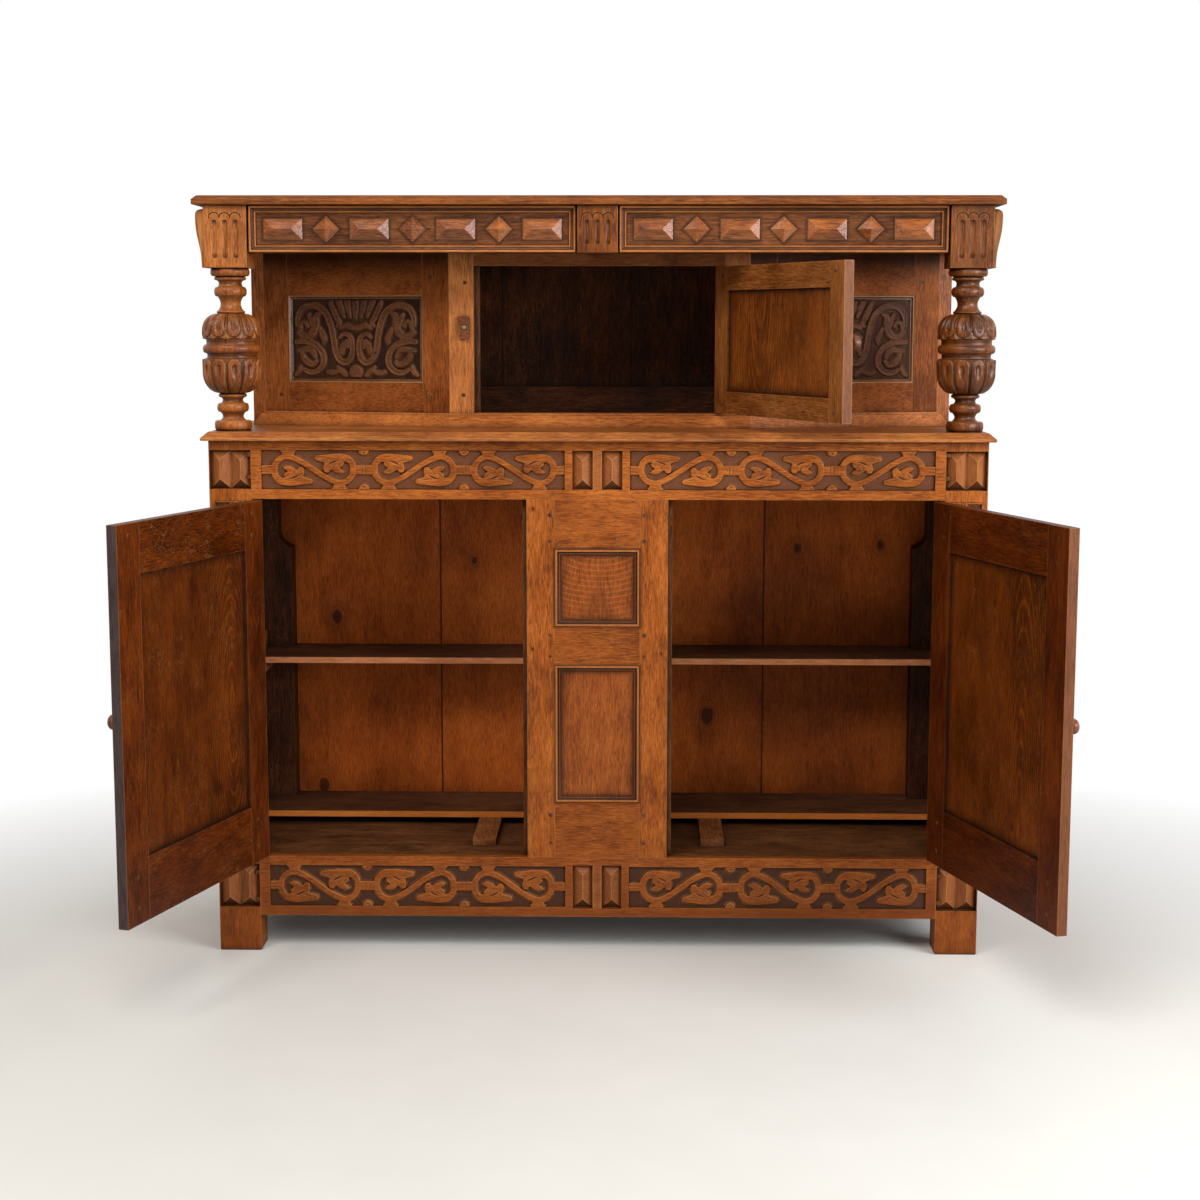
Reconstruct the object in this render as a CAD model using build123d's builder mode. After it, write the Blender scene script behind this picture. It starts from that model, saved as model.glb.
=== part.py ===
from build123d import *
import os
from math import cos, radians, sin, tan

os.makedirs("parts", exist_ok=True)

# A joined oak court cupboard: a lower case with two doors either side of a framed centre panel,
# a recessed upper cupboard whose side panels are canted back, and a jewelled canopy carried in
# front by two turned cup-and-cover columns.
#
# The frame: +Z up, +X to the right as one faces it, +Y towards the wall. The origin is on the
# floor, in the middle of the room that the cupboard takes up as it stands here, doors open.
# Heights are from the floor. Depths are measured back from the front face of the lower posts.

# ---- Fits --------------------------------------------------------------------------------
fit_gap = 0.3                # play between pieces that are laid or slid together
door_gap = 1.5               # play round each door
stop_gap = 0.5               # between a shut door and its stop strip
mitre_gap = 0.3              # hairline at a planted moulding's mitre
pin_play = 0.06              # round a pin, a screw or a shank in its hole

# ---- Lower case --------------------------------------------------------------------------
case_width = 1370.0
case_depth = 455.0           # front of the posts to the back of the back boards
case_height = 926.5          # floor to the underside of the middle board
post_width = 75.0
front_post_depth = 60.0
rear_post_depth = 45.0
foot_chamfer = 2.0
cove_width = 27.0            # shoulder cut on the rear posts' inner edge
cove_drop = 35.0
cove_head_drop = 197.5       # from the case's top to the head of the cove
rail_thickness = 24.0
bottom_rail_underside = 66.5
bottom_rail_height = 110.5
frieze_rail_height = 103.0
frame_thickness = 18.0       # centre frame and canted frames
back_board_thickness = 12.0
back_board_gap = 1.0
back_board_lap = 8.0         # how far each board reaches behind the lip of the next
back_board_joint = 321.0     # from the centre line to the outer joints between the back boards
back_board_inset = 35.0      # the back's outer edges inside the posts' outer faces
back_board_foot = 70.0
rear_rail_thickness = 22.0
rear_top_rail_height = 76.5
rear_bottom_rail_height = 80.0

# ---- Carved and split ornament on the lower case -----------------------------------------
carving_depth = 5.0
carving_splay = 0.8
field_inner_edge = 58.0      # from the centre line to each carved field
field_end_margin = 18.0      # from a field's outer end to the post
frieze_field_margin = 17.5   # plain wood above and below the frieze's fields
base_field_margin = 18.0
boss_width = 34.5            # one split boss, hipped at both ends
boss_height = 9.0
boss_ridge = 1.0             # worn flat on the ridge
boss_seat_margin = 1.0
post_boss_spacing = 36.0     # between the ridges of a pair on a post
rail_boss_spacing = 52.0     # between the ridges of a pair on a rail
frieze_boss_margin = 18.0    # plain wood above and below the bosses of the frieze
base_boss_margin = 16.0
post_field_margin = 10.5     # plain wood each side of the leaf carving on a post
post_field_depth = 4.0
post_field_end = 4.0         # from the door space's ends to the leaf carving's ends

# ---- Centre frame ------------------------------------------------------------------------
centre_frame_width = 250.0
centre_stile_width = 49.5
centre_top_rail_height = 88.0
centre_mid_rail_height = 69.5
centre_bottom_rail_height = 101.0
centre_upper_panel_height = 138.5

# ---- Framed panels -----------------------------------------------------------------------
panel_thickness = 7.0
panel_setback = 5.5          # from the frame's face to the panel's groove
panel_groove = 6.0           # how far the panel is let into its frame
moulding_width = 11.0        # planted moulding round a panel's sight edge
moulding_splay = 6.0
moulding_drop = 1.0          # moulding's face below the frame's face

# ---- Sides -------------------------------------------------------------------------------
side_setback = 2.0           # side rails behind the posts' outer faces
side_rail_thickness = 22.0
side_top_rail_height = 86.5
side_mid_rail_height = 65.0
side_bottom_rail_height = 80.0

# ---- Inside the lower case ---------------------------------------------------------------
floor_drop = 8.0             # floor below the top of the bottom rail
floor_thickness = 14.0
floor_rebate = 10.0          # bearing of the floor on the bottom rail
floor_side_bearing = 7.0     # bearing of the floor on the side rails
shelf_thickness = 11.5
shelf_front_depth = 273.0
upper_shelf_rise = 327.0     # floor to the top of the upper shelf
cleat_width = 18.0
cleat_height = 18.0
cleat_end_margin = 3.0
bearer_height = 14.0
bearer_width = 43.0
bearer_inner_edge = 190.0
bearer_front_depth = 110.0
bearer_rear_margin = 4.0
stop_strip_width = 16.0
stop_strip_show = 8.0        # how far a stop stands past the stile it is nailed to
stop_strip_thickness = 10.0
upper_stop_show = 10.0

# ---- Middle board and top board ----------------------------------------------------------
middle_board_thickness = 15.5
middle_board_side_lip = 9.8
middle_board_front_lip = 22.0
middle_edge_slope = 12.0     # thumb moulding, measured in from the nose
middle_edge_fall = 10.5
top_board_thickness = 16.0
top_board_side_lip = 17.5
top_board_front_lip = 12.0
top_edge_slope = 8.0
top_edge_fall = 7.0
nose_round = 1.8

# ---- Upper cupboard ----------------------------------------------------------------------
upper_depth = 158.0          # its front behind the front of the lower posts
upper_height = 392.0         # middle board to the underside of the top board
upper_opening_width = 457.0
upper_stile_width = 45.0
upper_sill_height = 26.5
upper_head_height = 100.0
cant_angle = 15.0
canted_inner_stile = 51.0
canted_outer_stile = 48.0
canted_bottom_rail = 79.5
canted_top_rail = 152.0
end_board_thickness = 24.0
end_board_inset = 33.0       # the upper cupboard's ends inside the lower posts' outer faces
base_moulding_height = 26.0
base_moulding_thickness = 10.0
base_bead_height = 4.0
base_bead_setback = 3.0
base_moulding_rake = 23.5    # how far its outer ends run out from top to bottom
upper_back_rail_height = 66.0
upper_back_joint = -195.0    # one joint between the upper back boards; the others follow from it
upper_back_board_width = 251.0
upper_back_joints = 4
carved_panel_margin = 8.0

# ---- Canopy ------------------------------------------------------------------------------
frieze_height = 81.5
frieze_setback = 16.0        # ground of the frieze behind the corner blocks' faces
frieze_thickness = 22.0
frieze_moulding_height = 10.0
frieze_moulding_width = 13.5
frieze_moulding_splay = 5.0
frieze_moulding_edge_splay = 3.0
frieze_moulding_gap = 1.8    # between a frame and the block beside it
jewels_in_field = 7          # hipped rectangles and lozenges by turns, a rectangle at each end
jewel_end_gap = 12.0         # from the frame to the first jewel
jewel_width = 68.0
jewel_tall = 36.0
jewel_height = 9.0
lozenge_side = 33.0
lozenge_height = 9.5
centre_block_width = 70.5
corner_block_width = 75.0
corner_block_depth = 76.0
corner_block_height = 107.5
console_proud = 14.0         # console scroll on the block's outer side
console_foot_proud = 4.0
console_end_margin = 7.0
console_shoulder_drop = 18.0
flute_width = 8.7
flute_pitch = 18.0
flute_depth = 3.0
flute_margin = 13.0          # below the flutes
flute_headroom = 25.0        # above them, where the scalloped arches are cut
return_setback = 2.0         # side friezes inside the corner blocks' faces

# ---- Columns -----------------------------------------------------------------------------
column_depth = 38.0          # axis behind the front of the lower posts
column_inset = 38.0          # axis inside the corner block's outer face
column_bead_round = 5.0      # how far the beads' edges fall in from their radius
column_foot_radius = 32.8
column_foot_height = 17.5
column_foot_neck = 25.5      # heights up the column, from the middle board
column_low_ring = 41.0
column_cup_start = 64.0
column_cup_widest = 108.0
column_band_bottom = 136.8
column_cover_widest = 172.0
column_cover_end = 207.0
column_high_ring = 243.5
column_neck_radius = 17.7
column_ring_radius = 28.2
column_ring_height = 17.0
column_cup_radius = 51.6
column_cup_seat = 24.0       # radius at the stem ends of the cup and the cover
column_cup_fullness = 18.0   # how far along the cup and the cover their bellies draw
column_groove_radius = 42.5
column_groove_width = 7.0
column_band_radius = 50.3
column_band_height = 14.6
column_collar_radius = 27.8
column_collar_height = 5.0
column_cap_radius = 34.2
column_cap_height = 12.0
column_cap_fillet = 4.5

# ---- Doors -------------------------------------------------------------------------------
door_thickness = frame_thickness - stop_gap
lower_rest_opening = 107.0   # how far each door stands open here, in degrees
upper_rest_opening = 115.0
lower_hinge_stile = 65.0
lower_lock_stile = 67.0
lower_top_rail = 82.0
lower_bottom_rail = 104.0
lower_knob_rise = 327.5      # from a lower door's bottom edge to its knob
upper_hinge_stile = 46.0
upper_lock_stile = 44.0
upper_top_rail = 43.0
upper_bottom_rail = 40.0
upper_knob_rise = 130.0
knob_radius = 12.5
knob_neck_radius = 6.0
knob_collar_radius = 10.0
knob_shank_radius = 4.8
knob_shank_length = 13.0
knob_length = 26.0
knob_collar_length = 3.0
knob_neck_length = 9.0

# ---- Butt hinges -------------------------------------------------------------------------
hinge_stand = 2.5            # pin's axis in front of the door's face
knuckle_radius = 3.5
knuckle_relief = 0.4         # wood and neighbouring leaf kept clear of a knuckle
knuckle_gap = 0.3
hinge_length = 60.0
leaf_width = 14.0            # of a leaf, back from the door's face
leaf_thickness = 1.5
hinge_pin_radius = 1.5
hinge_pin_cap_radius = 2.6
hinge_pin_cap_height = 1.5
lower_hinge_inset = 90.0     # from a door's end to its hinge
upper_hinge_inset = 38.0

# ---- Turn button -------------------------------------------------------------------------
button_rise = 181.5          # from the middle board to the pivot
button_inset = 16.5          # pivot from the stile's inner edge
button_length = 41.0
button_width = 20.0
button_waist = 15.0
button_corner = 4.0
button_thickness = 10.0
button_screw_radius = 2.0
button_screw_depth = 14.0
button_head_radius = 4.5
button_head_height = 2.0
button_head_taper = 20.0

# ---- Places worked out from the sizes above ----------------------------------------------
sides = (("left", -1), ("right", 1))
half_case = case_width / 2
post_inner = half_case - post_width
field_outer_edge = post_inner - field_end_margin
door_space_bottom = bottom_rail_underside + bottom_rail_height
door_space_top = case_height - frieze_rail_height
frieze_field_z = (door_space_top + frieze_field_margin, case_height - frieze_field_margin)
base_field_z = (
    bottom_rail_underside + base_field_margin,
    door_space_bottom - base_field_margin,
)
frieze_boss_z = (door_space_top + frieze_boss_margin, case_height - frieze_boss_margin)
base_boss_z = (bottom_rail_underside + base_boss_margin, door_space_bottom - base_boss_margin)
half_centre = centre_frame_width / 2
centre_sight = half_centre - centre_stile_width
back_depth = case_depth - back_board_thickness
rear_post_front = back_depth - rear_post_depth
side_outer = half_case - side_setback
side_inner = side_outer - side_rail_thickness
floor_top = door_space_bottom - floor_drop
floor_bottom = floor_top - floor_thickness
upper_shelf_top = floor_top + upper_shelf_rise
middle_top = case_height + middle_board_thickness
top_underside = middle_top + upper_height
half_opening = upper_opening_width / 2
stile_outer = half_opening + upper_stile_width
end_outer = half_case - end_board_inset
end_inner = end_outer - end_board_thickness
canted_run = end_inner - stile_outer
upper_door_space = (middle_top + upper_sill_height, top_underside - upper_head_height)
frieze_underside = top_underside - frieze_height
corner_block_bottom = top_underside - corner_block_height
button_height = middle_top + button_rise
cant_slope = tan(radians(cant_angle))
cant_length = canted_run / cos(radians(cant_angle))
mitre_slope = tan(radians(cant_angle / 2))
block_outer = half_case
block_inner = block_outer - corner_block_width
column_x = block_outer - column_inset
button_x = half_opening + button_inset

lower_door_width = post_inner - half_centre - 2 * door_gap
upper_door_width = upper_opening_width - 2 * door_gap
door_free_edge = door_gap / 2 + lower_door_width
door_reach = (
    hinge_stand
    + door_free_edge * sin(radians(lower_rest_opening))
    - (hinge_stand + door_thickness) * cos(radians(lower_rest_opening))
)
front_y = (door_reach - case_depth) / 2


# ---- Planes ------------------------------------------------------------------------------
def face(x, depth, turn=0.0):
    """Upright plane that looks to the front, standing at x and depth, turned about the vertical."""
    angle = radians(turn)
    return Plane(
        origin=(x, front_y + depth, 0),
        x_dir=(cos(angle), sin(angle), 0),
        z_dir=(sin(angle), -cos(angle), 0),
    )


def side_face(side, x):
    """Upright plane that looks out of the cupboard's side. Its x axis is side times the depth."""
    return Plane(origin=(side * x, front_y, 0), x_dir=(0, side, 0), z_dir=(side, 0, 0))


def level(z):
    """Level plane at a height. Its y axis is the depth behind the lower posts."""
    return Plane(origin=(0, front_y, z), x_dir=(1, 0, 0), z_dir=(0, 0, 1))


# ---- Shapes that pieces share. Each works on the BuildPart that is open --------------------
def rectangle(plane, x_range, z_range, grow=0.0):
    """A rectangle between two x values and two z values, grown all round."""
    with BuildSketch(plane) as outline:
        with Locations(((x_range[0] + x_range[1]) / 2, (z_range[0] + z_range[1]) / 2)):
            Rectangle(
                abs(x_range[1] - x_range[0]) + 2 * grow,
                abs(z_range[1] - z_range[0]) + 2 * grow,
            )
    return outline.sketch


def lay_board(plane, x_range, z_range, thickness, mode=Mode.ADD):
    """A board whose face lies in the plane and which runs back from it."""
    extrude(rectangle(plane, x_range, z_range), amount=-thickness, mode=mode)


def cut_field(plane, x_range, z_range, depth, splay):
    """Sinks a flat field with splayed walls; the ranges are those of its ground."""
    mouth = rectangle(plane, x_range, z_range, splay)
    ground = rectangle(plane.offset(-depth), x_range, z_range)
    loft([mouth.face(), ground.face()], ruled=True, mode=Mode.SUBTRACT)


def lay_hipped_block(plane, x_range, z_range, height):
    """A block with four equal slopes up to a narrow worn ridge."""
    narrow = min(abs(x_range[1] - x_range[0]), abs(z_range[1] - z_range[0]))
    base = rectangle(plane, x_range, z_range)
    ridge = rectangle(plane.offset(height), x_range, z_range, (boss_ridge - narrow) / 2)
    loft([base.face(), ridge.face()], ruled=True)


def lay_boss_pair(plane, x_mid, z_range, spacing):
    """Two split bosses whose ridges lie in the plane, standing on ground sunk behind it."""
    ground = plane.offset(-boss_height)
    for hand in (-1, 1):
        middle = x_mid + hand * spacing / 2
        x_range = (middle - boss_width / 2, middle + boss_width / 2)
        cut_field(
            plane,
            (x_range[0] - boss_seat_margin, x_range[1] + boss_seat_margin),
            (z_range[0] - boss_seat_margin, z_range[1] + boss_seat_margin),
            boss_height,
            0.0,
        )
    for hand in (-1, 1):
        middle = x_mid + hand * spacing / 2
        x_range = (middle - boss_width / 2, middle + boss_width / 2)
        lay_hipped_block(ground, x_range, z_range, boss_height)


def cut_panel_groove(plane, x_range, z_range):
    """The groove that holds a panel, cut into every member of the frame that it meets."""
    groove = rectangle(plane.offset(-panel_setback), x_range, z_range, panel_groove)
    extrude(groove, amount=-(panel_thickness + fit_gap), mode=Mode.SUBTRACT)


def lay_moulded_panel(plane, x_range, z_range, margin=moulding_width):
    """A panel let into its frame, with a splayed moulding planted round its sight edge."""
    seat = plane.offset(-(panel_setback + fit_gap / 2))
    extrude(rectangle(seat, x_range, z_range, panel_groove - fit_gap), amount=-panel_thickness)
    top = plane.offset(-moulding_drop)
    rise = panel_setback + fit_gap / 2 - moulding_drop
    extrude(rectangle(top, x_range, z_range, -fit_gap), amount=-rise)
    inner_x = (min(x_range) + margin, max(x_range) - margin)
    inner_z = (min(z_range) + margin, max(z_range) - margin)
    cut_field(top, inner_x, inner_z, rise, min(moulding_splay, margin / 2))


# ---- Doors: where each hangs and how it is framed -----------------------------------------
class Door:
    """A framed door. hand is 1 when it is hinged on the left and -1 on the right."""

    def __init__(self, name, hand, hinge_x, depth, opening, width, z_range):
        self.name = name
        self.hand = hand
        self.hinge_side = -hand
        self.hinge_x = hinge_x
        self.depth = depth
        self.opening = opening
        self.width = width
        self.bottom = z_range[0] + door_gap
        self.top = z_range[1] - door_gap

    def frame(self, hinge_stile, lock_stile, top_rail, bottom_rail):
        self.hinge_stile = hinge_stile
        self.lock_stile = lock_stile
        self.top_rail = top_rail
        self.bottom_rail = bottom_rail

    def fit(self, hinge_inset, knob_rise):
        self.hinge_inset = hinge_inset
        self.knob_height = self.bottom + knob_rise

    def axis_plane(self, opened=True):
        """Upright plane through the hinge pin, along the door."""
        turn = -self.hand * self.opening if opened else 0.0
        return face(self.hinge_x, self.depth - hinge_stand, turn)

    def outer_face(self):
        return self.axis_plane().offset(-hinge_stand)

    def along(self, near, far):
        """x range between two distances from the door's hinge edge."""
        return (self.hand * (door_gap / 2 + near), self.hand * (door_gap / 2 + far))

    def hinge_plan(self, z, opened):
        """Level plane with its origin on the pin, x along the door and y into the case."""
        upright = self.axis_plane(opened)
        return Plane(
            origin=(upright.origin.X, upright.origin.Y, z),
            x_dir=upright.x_dir,
            z_dir=(0, 0, 1),
        )

    def hinge_bottoms(self):
        return (
            self.bottom + self.hinge_inset,
            self.top - self.hinge_inset - hinge_length,
        )


lower_door_space = (door_space_bottom, door_space_top)
lower_hinge_x = post_inner - door_gap / 2
left_door = Door(
    "left_door", 1, -lower_hinge_x, 0.0, lower_rest_opening, lower_door_width, lower_door_space
)
right_door = Door(
    "right_door", -1, lower_hinge_x, 0.0, lower_rest_opening, lower_door_width, lower_door_space
)
for door in (left_door, right_door):
    door.frame(lower_hinge_stile, lower_lock_stile, lower_top_rail, lower_bottom_rail)
    door.fit(lower_hinge_inset, lower_knob_rise)

upper_door = Door(
    "upper_door",
    -1,
    half_opening - door_gap / 2,
    upper_depth,
    upper_rest_opening,
    upper_door_width,
    upper_door_space,
)
upper_door.frame(upper_hinge_stile, upper_lock_stile, upper_top_rail, upper_bottom_rail)
upper_door.fit(upper_hinge_inset, upper_knob_rise)

doors = (left_door, right_door, upper_door)


# ---- Hinges ------------------------------------------------------------------------------
def hinge_slab(door, opened, member, z_range, reach, mode, extra=0.0):
    """The room of a leaf: member is -1 on the case and 1 on the door."""
    near = member * door.hand * (door_gap / 2 - extra)
    far = member * door.hand * (door_gap / 2 + leaf_thickness)
    with BuildSketch(door.hinge_plan(z_range[0], opened)) as plate:
        with Locations(((near + far) / 2, reach / 2)):
            Rectangle(abs(far - near), reach)
    extrude(plate.sketch, amount=z_range[1] - z_range[0], mode=mode)


def hinge_round(door, opened, radius, z_range, mode):
    """A cylinder on the pin's axis."""
    with BuildSketch(door.hinge_plan(z_range[0], opened)) as disc:
        Circle(radius)
    extrude(disc.sketch, amount=z_range[1] - z_range[0], mode=mode)


def cut_hinge_seats(door, opened, member):
    """Housings for the leaves in the wood, and the hollow for the knuckles along its arris."""
    for bottom in door.hinge_bottoms():
        z_range = (bottom - fit_gap, bottom + hinge_length + fit_gap)
        reach = hinge_stand + leaf_width + fit_gap
        hinge_slab(door, opened, member, z_range, reach, Mode.SUBTRACT, door_gap / 2)
        cleared = (
            z_range[0] - hinge_pin_cap_height - fit_gap,
            z_range[1] + hinge_pin_cap_height + fit_gap,
        )
        hinge_round(door, opened, knuckle_radius + knuckle_relief, cleared, Mode.SUBTRACT)


def lay_hinge_leaves(door, opened, member):
    """Leaves with the two outer knuckles on the case, or the middle knuckle on the door."""
    third = hinge_length / 3
    for bottom in door.hinge_bottoms():
        low_joint = bottom + third
        high_joint = bottom + 2 * third
        top = bottom + hinge_length
        outer_spans = ((bottom, low_joint - knuckle_gap / 2), (high_joint + knuckle_gap / 2, top))
        middle_span = ((low_joint + knuckle_gap / 2, high_joint - knuckle_gap / 2),)
        own = middle_span if member > 0 else outer_spans
        other = ((bottom, low_joint), (high_joint, top)) if member > 0 else ((low_joint, high_joint),)
        hinge_slab(door, opened, member, (bottom, top), hinge_stand + leaf_width, Mode.ADD)
        for span in other:
            hinge_round(door, opened, knuckle_radius + knuckle_relief, span, Mode.SUBTRACT)
        for span in own:
            hinge_round(door, opened, knuckle_radius, span, Mode.ADD)
        hinge_round(door, opened, hinge_pin_radius + pin_play, (bottom, top), Mode.SUBTRACT)


with BuildPart() as case_hinge_leaves:
    for door in doors:
        lay_hinge_leaves(door, False, -1)
case_hinge_leaves.part.label = "case_hinge_leaves"
export_step(case_hinge_leaves.part, "parts/case_hinge_leaves.step")

with BuildPart() as hinge_pins:
    for door in doors:
        for bottom in door.hinge_bottoms():
            top = bottom + hinge_length
            hinge_round(door, False, hinge_pin_radius, (bottom, top), Mode.ADD)
            low_cap = (bottom - hinge_pin_cap_height, bottom)
            high_cap = (top, top + hinge_pin_cap_height)
            hinge_round(door, False, hinge_pin_cap_radius, low_cap, Mode.ADD)
            hinge_round(door, False, hinge_pin_cap_radius, high_cap, Mode.ADD)
hinge_pins.part.label = "hinge_pins"
export_step(hinge_pins.part, "parts/hinge_pins.step")

for door in doors:
    with BuildPart() as door_hinge_leaves:
        lay_hinge_leaves(door, True, 1)
    door_hinge_leaves.part.label = f"{door.name}_hinge_leaves"
    export_step(door_hinge_leaves.part, f"parts/{door.name}_hinge_leaves.step")

# ---- Posts -------------------------------------------------------------------------------
for side_name, side in sides:
    x_range = (side * post_inner, side * half_case)
    post_middle = side * (post_inner + half_case) / 2
    post_door = left_door if side < 0 else right_door

    # Front post and its foot, of one piece, with two pairs of split bosses and a leaf-carved field.
    with BuildPart() as front_post:
        lay_board(face(0, 0), x_range, (0, case_height), front_post_depth)
        chamfer(front_post.faces().sort_by(Axis.Z)[0].edges(), foot_chamfer)
        lay_boss_pair(face(0, 0), post_middle, frieze_boss_z, post_boss_spacing)
        lay_boss_pair(face(0, 0), post_middle, base_boss_z, post_boss_spacing)
        cut_field(
            face(0, 0),
            (side * (post_inner + post_field_margin), side * (half_case - post_field_margin)),
            (door_space_bottom + post_field_end, door_space_top - post_field_end),
            post_field_depth,
            carving_splay,
        )
        cut_hinge_seats(post_door, False, -1)
    front_post.part.label = f"front_post_{side_name}"
    export_step(front_post.part, f"parts/front_post_{side_name}.step")

# Rear posts, plain, with a coved shoulder cut on the inner edge to ease the top.
cove_top = case_height - cove_head_drop

with BuildPart() as rear_posts:
    for side_name, side in sides:
        x_range = (side * post_inner, side * half_case)
        lay_board(face(0, rear_post_front), x_range, (0, case_height), rear_post_depth)
        with BuildSketch(face(0, rear_post_front)) as shoulder:
            with BuildLine():
                foot_of_cove = (side * post_inner, cove_top - cove_drop)
                belly_of_cove = (
                    side * (post_inner + cove_width * cos(radians(45))),
                    cove_top - cove_drop * sin(radians(45)),
                )
                head_of_cove = (side * (post_inner + cove_width), cove_top)
                Polyline(
                    head_of_cove,
                    (side * (post_inner + cove_width), case_height),
                    (side * post_inner, case_height),
                    foot_of_cove,
                )
                ThreePointArc(foot_of_cove, belly_of_cove, head_of_cove)
            make_face()
        extrude(shoulder.sketch, amount=-rear_post_depth, mode=Mode.SUBTRACT)
rear_posts.part.label = "rear_posts"
export_step(rear_posts.part, "parts/rear_posts.step")

# ---- Rails of the lower case -------------------------------------------------------------
with BuildPart() as frieze_rail:
    lay_board(
        face(0, 0), (-post_inner, post_inner), (door_space_top, case_height), rail_thickness
    )
    for side_name, side in sides:
        cut_field(
            face(0, 0),
            (side * field_inner_edge, side * field_outer_edge),
            frieze_field_z,
            carving_depth,
            carving_splay,
        )
    lay_boss_pair(face(0, 0), 0.0, frieze_boss_z, rail_boss_spacing)
frieze_rail.part.label = "frieze_rail"
export_step(frieze_rail.part, "parts/frieze_rail.step")

with BuildPart() as bottom_rail:
    lay_board(
        face(0, 0),
        (-post_inner, post_inner),
        (bottom_rail_underside, door_space_bottom),
        rail_thickness,
    )
    for side_name, side in sides:
        cut_field(
            face(0, 0),
            (side * field_inner_edge, side * field_outer_edge),
            base_field_z,
            carving_depth,
            carving_splay,
        )
    lay_boss_pair(face(0, 0), 0.0, base_boss_z, rail_boss_spacing)
    # rebate along the back for the floor board
    lay_board(
        face(0, rail_thickness - floor_rebate),
        (-post_inner, post_inner),
        (floor_bottom, door_space_bottom),
        floor_rebate,
        Mode.SUBTRACT,
    )
bottom_rail.part.label = "bottom_rail"
export_step(bottom_rail.part, "parts/bottom_rail.step")

with BuildPart() as rear_rails:
    rear_rail_face = face(0, back_depth - rear_rail_thickness)
    lay_board(
        rear_rail_face,
        (-post_inner, post_inner),
        (case_height - rear_top_rail_height, case_height),
        rear_rail_thickness,
    )
    lay_board(
        rear_rail_face,
        (-post_inner, post_inner),
        (floor_bottom - rear_bottom_rail_height, floor_bottom),
        rear_rail_thickness,
    )
rear_rails.part.label = "rear_rails"
export_step(rear_rails.part, "parts/rear_rails.step")

# ---- Centre frame ------------------------------------------------------------------------
centre_top_rail_bottom = door_space_top - centre_top_rail_height
centre_mid_rail_top = centre_top_rail_bottom - centre_upper_panel_height
centre_mid_rail_bottom = centre_mid_rail_top - centre_mid_rail_height
centre_bottom_rail_top = door_space_bottom + centre_bottom_rail_height
centre_sights = (
    (centre_mid_rail_top, centre_top_rail_bottom),
    (centre_bottom_rail_top, centre_mid_rail_bottom),
)
centre_sight_x = (-centre_sight, centre_sight)

for side_name, side in sides:
    with BuildPart() as centre_stile:
        lay_board(
            face(0, 0),
            (side * centre_sight, side * half_centre),
            (door_space_bottom, door_space_top),
            frame_thickness,
        )
        for sight_z in centre_sights:
            cut_panel_groove(face(0, 0), centre_sight_x, sight_z)
    centre_stile.part.label = f"centre_stile_{side_name}"
    export_step(centre_stile.part, f"parts/centre_stile_{side_name}.step")

with BuildPart() as centre_rails:
    for rail_z in (
        (centre_top_rail_bottom, door_space_top),
        (centre_mid_rail_bottom, centre_mid_rail_top),
        (door_space_bottom, centre_bottom_rail_top),
    ):
        lay_board(face(0, 0), centre_sight_x, rail_z, frame_thickness)
    for sight_z in centre_sights:
        cut_panel_groove(face(0, 0), centre_sight_x, sight_z)
centre_rails.part.label = "centre_rails"
export_step(centre_rails.part, "parts/centre_rails.step")

with BuildPart() as centre_panels:
    for sight_z in centre_sights:
        lay_moulded_panel(face(0, 0), centre_sight_x, sight_z)
centre_panels.part.label = "centre_panels"
export_step(centre_panels.part, "parts/centre_panels.step")

# ---- Framed sides of the lower case --------------------------------------------------------
side_sight_depth = (front_post_depth, rear_post_front)
side_top_rail_bottom = case_height - side_top_rail_height
side_mid_rail_bottom = (side_top_rail_bottom + floor_bottom - side_mid_rail_height) / 2
side_mid_rail_top = side_mid_rail_bottom + side_mid_rail_height
side_sights = (
    (side_mid_rail_top, side_top_rail_bottom),
    (floor_bottom, side_mid_rail_bottom),
)

with BuildPart() as side_rails:
    for side_name, side in sides:
        outside = side_face(side, side_outer)
        x_range = (side * side_sight_depth[0], side * side_sight_depth[1])
        for rail_z in (
            (side_top_rail_bottom, case_height),
            (side_mid_rail_bottom, side_mid_rail_top),
            (floor_bottom - side_bottom_rail_height, floor_bottom),
        ):
            lay_board(outside, x_range, rail_z, side_rail_thickness)
        for sight_z in side_sights:
            cut_panel_groove(outside, x_range, sight_z)
side_rails.part.label = "side_rails"
export_step(side_rails.part, "parts/side_rails.step")

with BuildPart() as side_panels:
    for side_name, side in sides:
        outside = side_face(side, side_outer)
        x_range = (
            side * (side_sight_depth[0] + panel_groove),
            side * (side_sight_depth[1] - panel_groove),
        )
        for sight_z in side_sights:
            lay_moulded_panel(outside, x_range, sight_z)
side_panels.part.label = "side_panels"
export_step(side_panels.part, "parts/side_panels.step")

# ---- Back, floor, shelves and stops of the lower case -----------------------------------------
def lay_back_boards(joints, z_range):
    """Boards side by side behind the posts, each with its lip over its neighbour's tongue."""
    half_thickness = back_board_thickness / 2
    lip = face(0, back_depth)
    rear_half = lip.offset(-half_thickness)
    for left, right in zip(joints[:-1], joints[1:]):
        lip_edge = left + back_board_gap / 2
        body_edge = lip_edge + back_board_lap if left > joints[0] else lip_edge
        right_edge = right - back_board_gap / 2
        lay_board(lip, (lip_edge, right_edge), z_range, half_thickness)
        lay_board(rear_half, (body_edge, right_edge), z_range, half_thickness)
        if right < joints[-1]:
            lay_board(
                rear_half.offset(-fit_gap),
                (right_edge, right_edge + back_board_lap),
                z_range,
                half_thickness - fit_gap,
            )


back_board_reach = half_case - back_board_inset

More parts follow.
